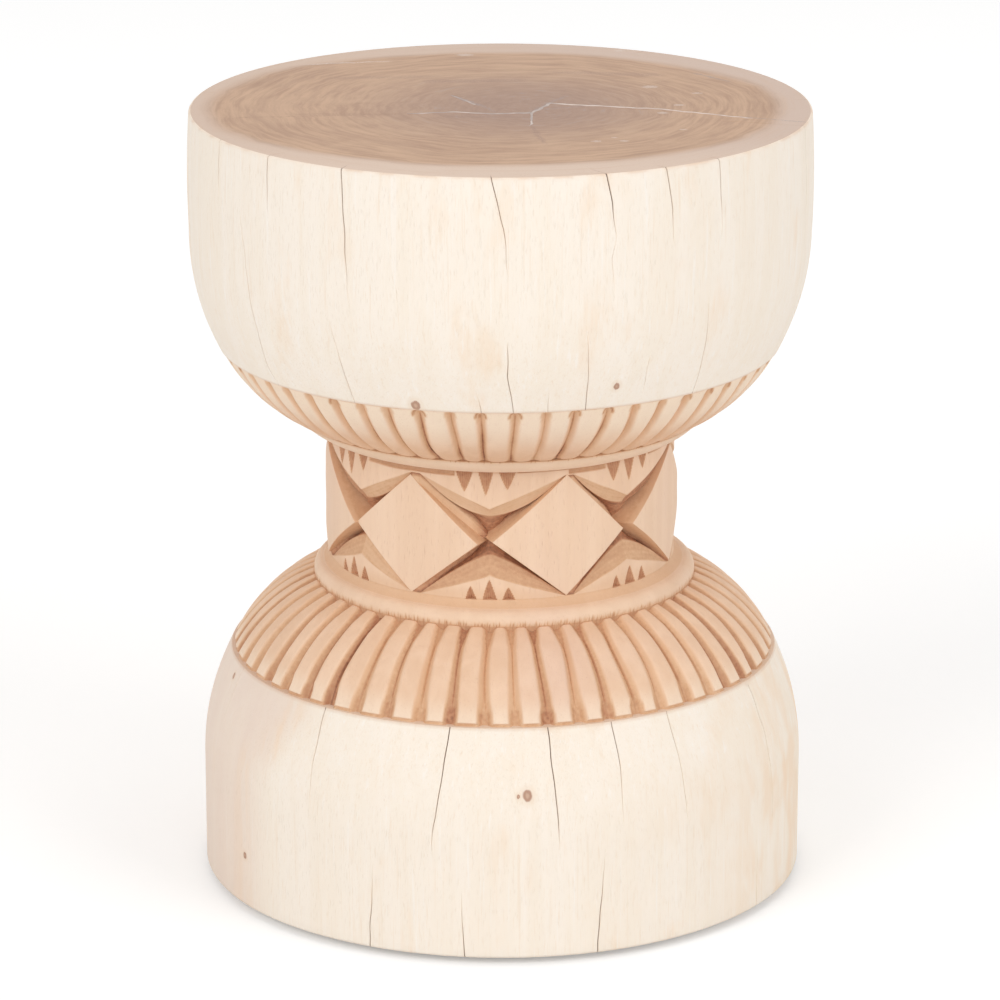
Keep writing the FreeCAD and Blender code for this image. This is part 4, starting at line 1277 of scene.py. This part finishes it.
filler = {
    # runs of the filled check across the top, from the star beside the pith outwards
    "runs": {
        "right": [(17.2, -16.3), (27.8, 8.0), (59.3, 0.2), (88.8, -6.5), (139.4, -30.7)],
        "left": [(17.2, -16.3), (-3.7, -19.1), (-24.7, -14.2), (-51.9, -18.9)],
        "front": [(17.2, -16.3), (16.7, -50.0)],
        "branch": [(-14.3, 4.5), (-20.0, 16.0), (-27.8, 29.0)],
    },
    "wide": {"right": 2.1, "left": 2.0, "front": 1.5, "branch": 1.3}, "tip": 1.0, "thick": 2.0,
    "spacing": 1.2, "sway": 0.22, "sharp": 35, "seeds": {"right": 3, "left": 5, "front": 7, "branch": 9},
    # the section's corners: across in widths, down in thicknesses
    "section": [(-0.5, -1), (0.5, -1), (0.5, -0.08), (0.34, 0), (-0.34, 0), (-0.5, -0.08)],
    # the filler is greyer left of here
    "greyTo": (24, 40),
    "colour": (0.80, 0.69, 0.62), "dark": (0.60, 0.49, 0.43), "grey": (0.43, 0.355, 0.325),
}


def makeFillerRun(name, material):
    # A box section carried along the check: the path is walked in even steps, sways by a sum of sines,
    # and the section's width narrows from the star to the tip
    s = filler
    seed = s["seeds"][name]
    draw = np.random.default_rng(seed)
    bends = np.array(s["runs"][name])
    travel = travelAlong(bends)
    walk = np.linspace(0, travel[-1], int(travel[-1] / s["spacing"]))
    centre = np.stack([np.interp(walk, travel, part) for part in bends.T], axis=1)
    along = headings(centre)
    sideways = np.stack([-along[:, 1], along[:, 0]], axis=1)
    sway = sum(np.sin(walk * draw.uniform(0.15, 0.8) + draw.uniform(0, 6.3)) for wave in range(4))
    sway = sway * s["sway"] * smooth(walk, 0, 6)
    width = s["wide"][name] + (s["tip"] - s["wide"][name]) * walk / travel[-1]
    width = width * (1 + 0.3 * np.sin(walk * 0.7 + seed) * np.sin(walk * 0.23 + 1))
    width = width * (0.15 + 0.85 * smooth(travel[-1] - walk, 0, 5))
    section = np.array(s["section"])
    middle = centre + sideways * sway[:, None]
    flat = middle[:, None, :] + sideways[:, None, :] * section[None, :, :1] * width[:, None, None]
    tall = lines["top"] + section[None, :, 1] * s["thick"] + 0 * walk[:, None]
    rings = np.concatenate([flat, tall[:, :, None]], axis=2) * mm
    quads, triangles = latheFaces(len(walk), len(section))
    mesh = buildMesh("filler_" + name, withPoles(rings), quads[:, ::-1], triangles[:, ::-1], {}, s["sharp"])
    addPiece("filler_" + name, mesh, material, "check_filler")


def fillerMaterial():
    paint = newPaint("pale_filler")
    place = paint.place()
    speck = paint.noise(place, 700, 3, 0.6)
    cloud = paint.noise(place, 110, 2, 0.5)
    colour = paint.mix(cloud.step(0.3, 0.7), filler["dark"], filler["colour"])
    left = 1 - paint.part(place, 0).step(*inMetres(*filler["greyTo"]))
    colour = paint.mix(left * (cloud.step(0.68, 0.40) * 0.55 + 0.35), colour, filler["grey"])
    colour = paint.mix(speck.step(0.5, 0.75) * 0.5, colour, filler["dark"])
    return paint.finish(colour, 0.6 + speck * 0.15, speck, 0.0001)


fillerPaint = fillerMaterial()
for runName in filler["runs"]:
    makeFillerRun(runName, fillerPaint)


# Glides

glides = {
    "circle": 132.0, "first": 45.0, "count": 4, "outer": 12.2, "hole": 5.0, "height": 2.4, "edgePower": 0.32,
    "around": 72, "section": 32,
    "felt": (0.42, 0.36, 0.29), "feltLight": (0.58, 0.52, 0.44), "plastic": (0.09, 0.055, 0.035),
    "steel": (0.62, 0.61, 0.58),
}


def feltMaterial():
    paint = newPaint("glide_felt")
    place = paint.place()
    wool = paint.noise(place, 1500, 4, 0.7, 1.5)
    cloud = paint.noise(place, 180, 2, 0.5)
    colour = paint.mix(wool.step(0.35, 0.7), glides["felt"], glides["feltLight"])
    colour = paint.mix(cloud.step(0.4, 0.7) * 0.3, colour, glides["felt"])
    return paint.finish(colour, 0.9 + wool * 0.08, wool, 0.0004, {"Sheen Weight": 0.3})


def plasticMaterial():
    paint = newPaint("glide_plastic")
    place = paint.place()
    speck = paint.noise(place, 900, 3, 0.6)
    wear = paint.noise(place, 90, 3, 0.6)
    lighter = tuple(value * 1.7 for value in glides["plastic"])
    colour = paint.mix(wear.step(0.45, 0.7), glides["plastic"], lighter)
    return paint.finish(colour, 0.38 + wear * 0.2, speck, 0.00005)


def steelMaterial():
    paint = newPaint("screw_steel")
    place = paint.place()
    brushed = paint.drawnNoise(place, 9, 700, 3, 0.6)
    tarnish = paint.noise(place, 160, 3, 0.6)
    darker = tuple(value * 0.7 for value in glides["steel"])
    colour = paint.mix(tarnish.step(0.45, 0.75) * 0.6, glides["steel"], darker)
    return paint.finish(colour, 0.28 + brushed * 0.2, brushed, 0.00004, {"Metallic": 1.0})


def makeFelt(number, material):
    # Felt ring with soft edges: a section whose sine and cosine are raised to a small power, which
    # squares it, carried once around the glide's own axis
    s = glides
    middle, half = (s["outer"] + s["hole"]) / 2, (s["outer"] - s["hole"]) / 2
    sweep = np.linspace(0, 2 * np.pi, s["section"], endpoint=False)
    across = middle + half * np.sign(np.cos(sweep)) * np.abs(np.cos(sweep)) ** s["edgePower"]
    rise = s["height"] / 2 * (1 + np.sign(np.sin(sweep)) * np.abs(np.sin(sweep)) ** s["edgePower"])
    around = np.linspace(0, 2 * np.pi, s["around"], endpoint=False)[:, None]
    turn = math.radians(s["first"] + number * 360 / s["count"])
    x = s["circle"] * math.sin(turn) + across * np.cos(around)
    y = -s["circle"] * math.cos(turn) + across * np.sin(around)
    points = (np.stack(np.broadcast_arrays(x, y, rise), axis=-1) * mm).reshape(-1, 3)
    rows, columns = np.arange(s["around"])[:, None], np.arange(s["section"])[None, :]
    here, nextRow = rows * s["section"], (rows + 1) % s["around"] * s["section"]
    nextColumn = (columns + 1) % s["section"]
    quads = np.stack(np.broadcast_arrays(here + columns, nextRow + columns, nextRow + nextColumn,
                                         here + nextColumn), axis=-1).reshape(-1, 4)
    name = "felt_ring_%d" % (number + 1)
    mesh = buildMesh(name, points, quads, np.zeros((0, 3), int), {}, 0)
    addPiece(name, mesh, material, "glide_felt_%d" % (number + 1))


feltPaint, plasticPaint, steelPaint = feltMaterial(), plasticMaterial(), steelMaterial()
for glideNumber in range(glides["count"]):
    makeFelt(glideNumber, feltPaint)
for nodeName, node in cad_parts.items():
    if nodeName.startswith("glide_cup"):
        node.material_slots[0].material = plasticPaint
    if nodeName == "glide_screws":
        node.material_slots[0].material = steelPaint
print("glides dressed")


# Floor and light

studio = {
    "floor": (0.86, 0.855, 0.85), "floorDark": (0.80, 0.80, 0.80), "floorSize": 14.0, "world": 0.60,
    # glow that lifts the floor to white for the camera: weaker as far back as the first of these metres
    # behind the table's middle, and full from the second
    "lift": 0.27, "liftNear": (0.75, 0.75, 0.75), "liftFar": (1, 1, 1), "liftRun": (0.1, 2.4),
    "lamps": [
        {"name": "left_softbox", "place": (-2.6, -3.0, 2.6), "size": (2.6, 2.6), "power": 53},
        {"name": "right_softbox", "place": (2.9, -2.4, 2.2), "size": (2.4, 2.4), "power": 37},
        {"name": "top_softbox", "place": (0.2, 0.6, 3.4), "size": (2.4, 2.4), "power": 21},
        {"name": "low_front_strip", "place": (0.0, -3.1, 0.42), "size": (2.4, 0.7), "power": 6.5},
    ],
    "aim": (0, 0, 0.22),
}


def makeFloor():
    # One large square, a little lighter to the camera, so that it renders white
    half = studio["floorSize"] / 2
    corners = np.array([[-half, -half, 0], [half, -half, 0], [half, half, 0], [-half, half, 0]])
    mesh = buildMesh("floor", corners, np.array([[0, 1, 2, 3]]), np.zeros((0, 3), int), {}, 0)
    floor = bpy.data.objects.new("floor", mesh)
    bpy.context.scene.collection.objects.link(floor)
    paint = newPaint("floor")
    place = paint.place()
    speck = paint.noise(place, 40, 2, 0.5)
    lift = paint.mix(paint.part(place, 1).step(*studio["liftRun"]), studio["liftNear"], studio["liftFar"])
    tint = paint.mix(speck.step(0.3, 0.7) * 0.02, studio["floor"], studio["floorDark"])
    cloth = paint.add("ShaderNodeBsdfDiffuse", None, {"Color": tint, "Roughness": 0.5})
    glow = paint.add("ShaderNodeEmission", None, {"Color": lift, "Strength": studio["lift"]})
    both = paint.add("ShaderNodeAddShader", None, [cloth, glow])
    surface = paint.add("ShaderNodeMixShader", None, [paint.seen(), cloth, both])
    paint.add("ShaderNodeOutputMaterial", None, {"Surface": surface})
    mesh.materials.append(paint.owner)


def makeLights():
    for lamp in studio["lamps"]:
        data = bpy.data.lights.new(lamp["name"], "AREA")
        data.shape = "RECTANGLE"
        data.size, data.size_y = lamp["size"]
        data.energy = lamp["power"]
        light = bpy.data.objects.new(lamp["name"], data)
        light.location = lamp["place"]
        toward = Vector(studio["aim"]) - Vector(lamp["place"])
        light.rotation_euler = toward.to_track_quat("-Z", "Y").to_euler()
        bpy.context.scene.collection.objects.link(light)


def makeWorld():
    world = bpy.data.worlds.new("studio")
    bpy.context.scene.world = world
    sky = Paint(world)
    room = sky.add("ShaderNodeBackground", None, {"Color": (1, 1, 1, 1), "Strength": studio["world"]})
    white = sky.add("ShaderNodeBackground", None, {"Color": (1, 1, 1, 1), "Strength": 1.0})
    mixed = sky.add("ShaderNodeMixShader", None, [sky.seen(), room, white])
    sky.add("ShaderNodeOutputWorld", None, {"Surface": mixed})


makeFloor()
makeLights()
makeWorld()
bpy.context.scene.view_settings.view_transform = "Standard"
print("floor and light set")
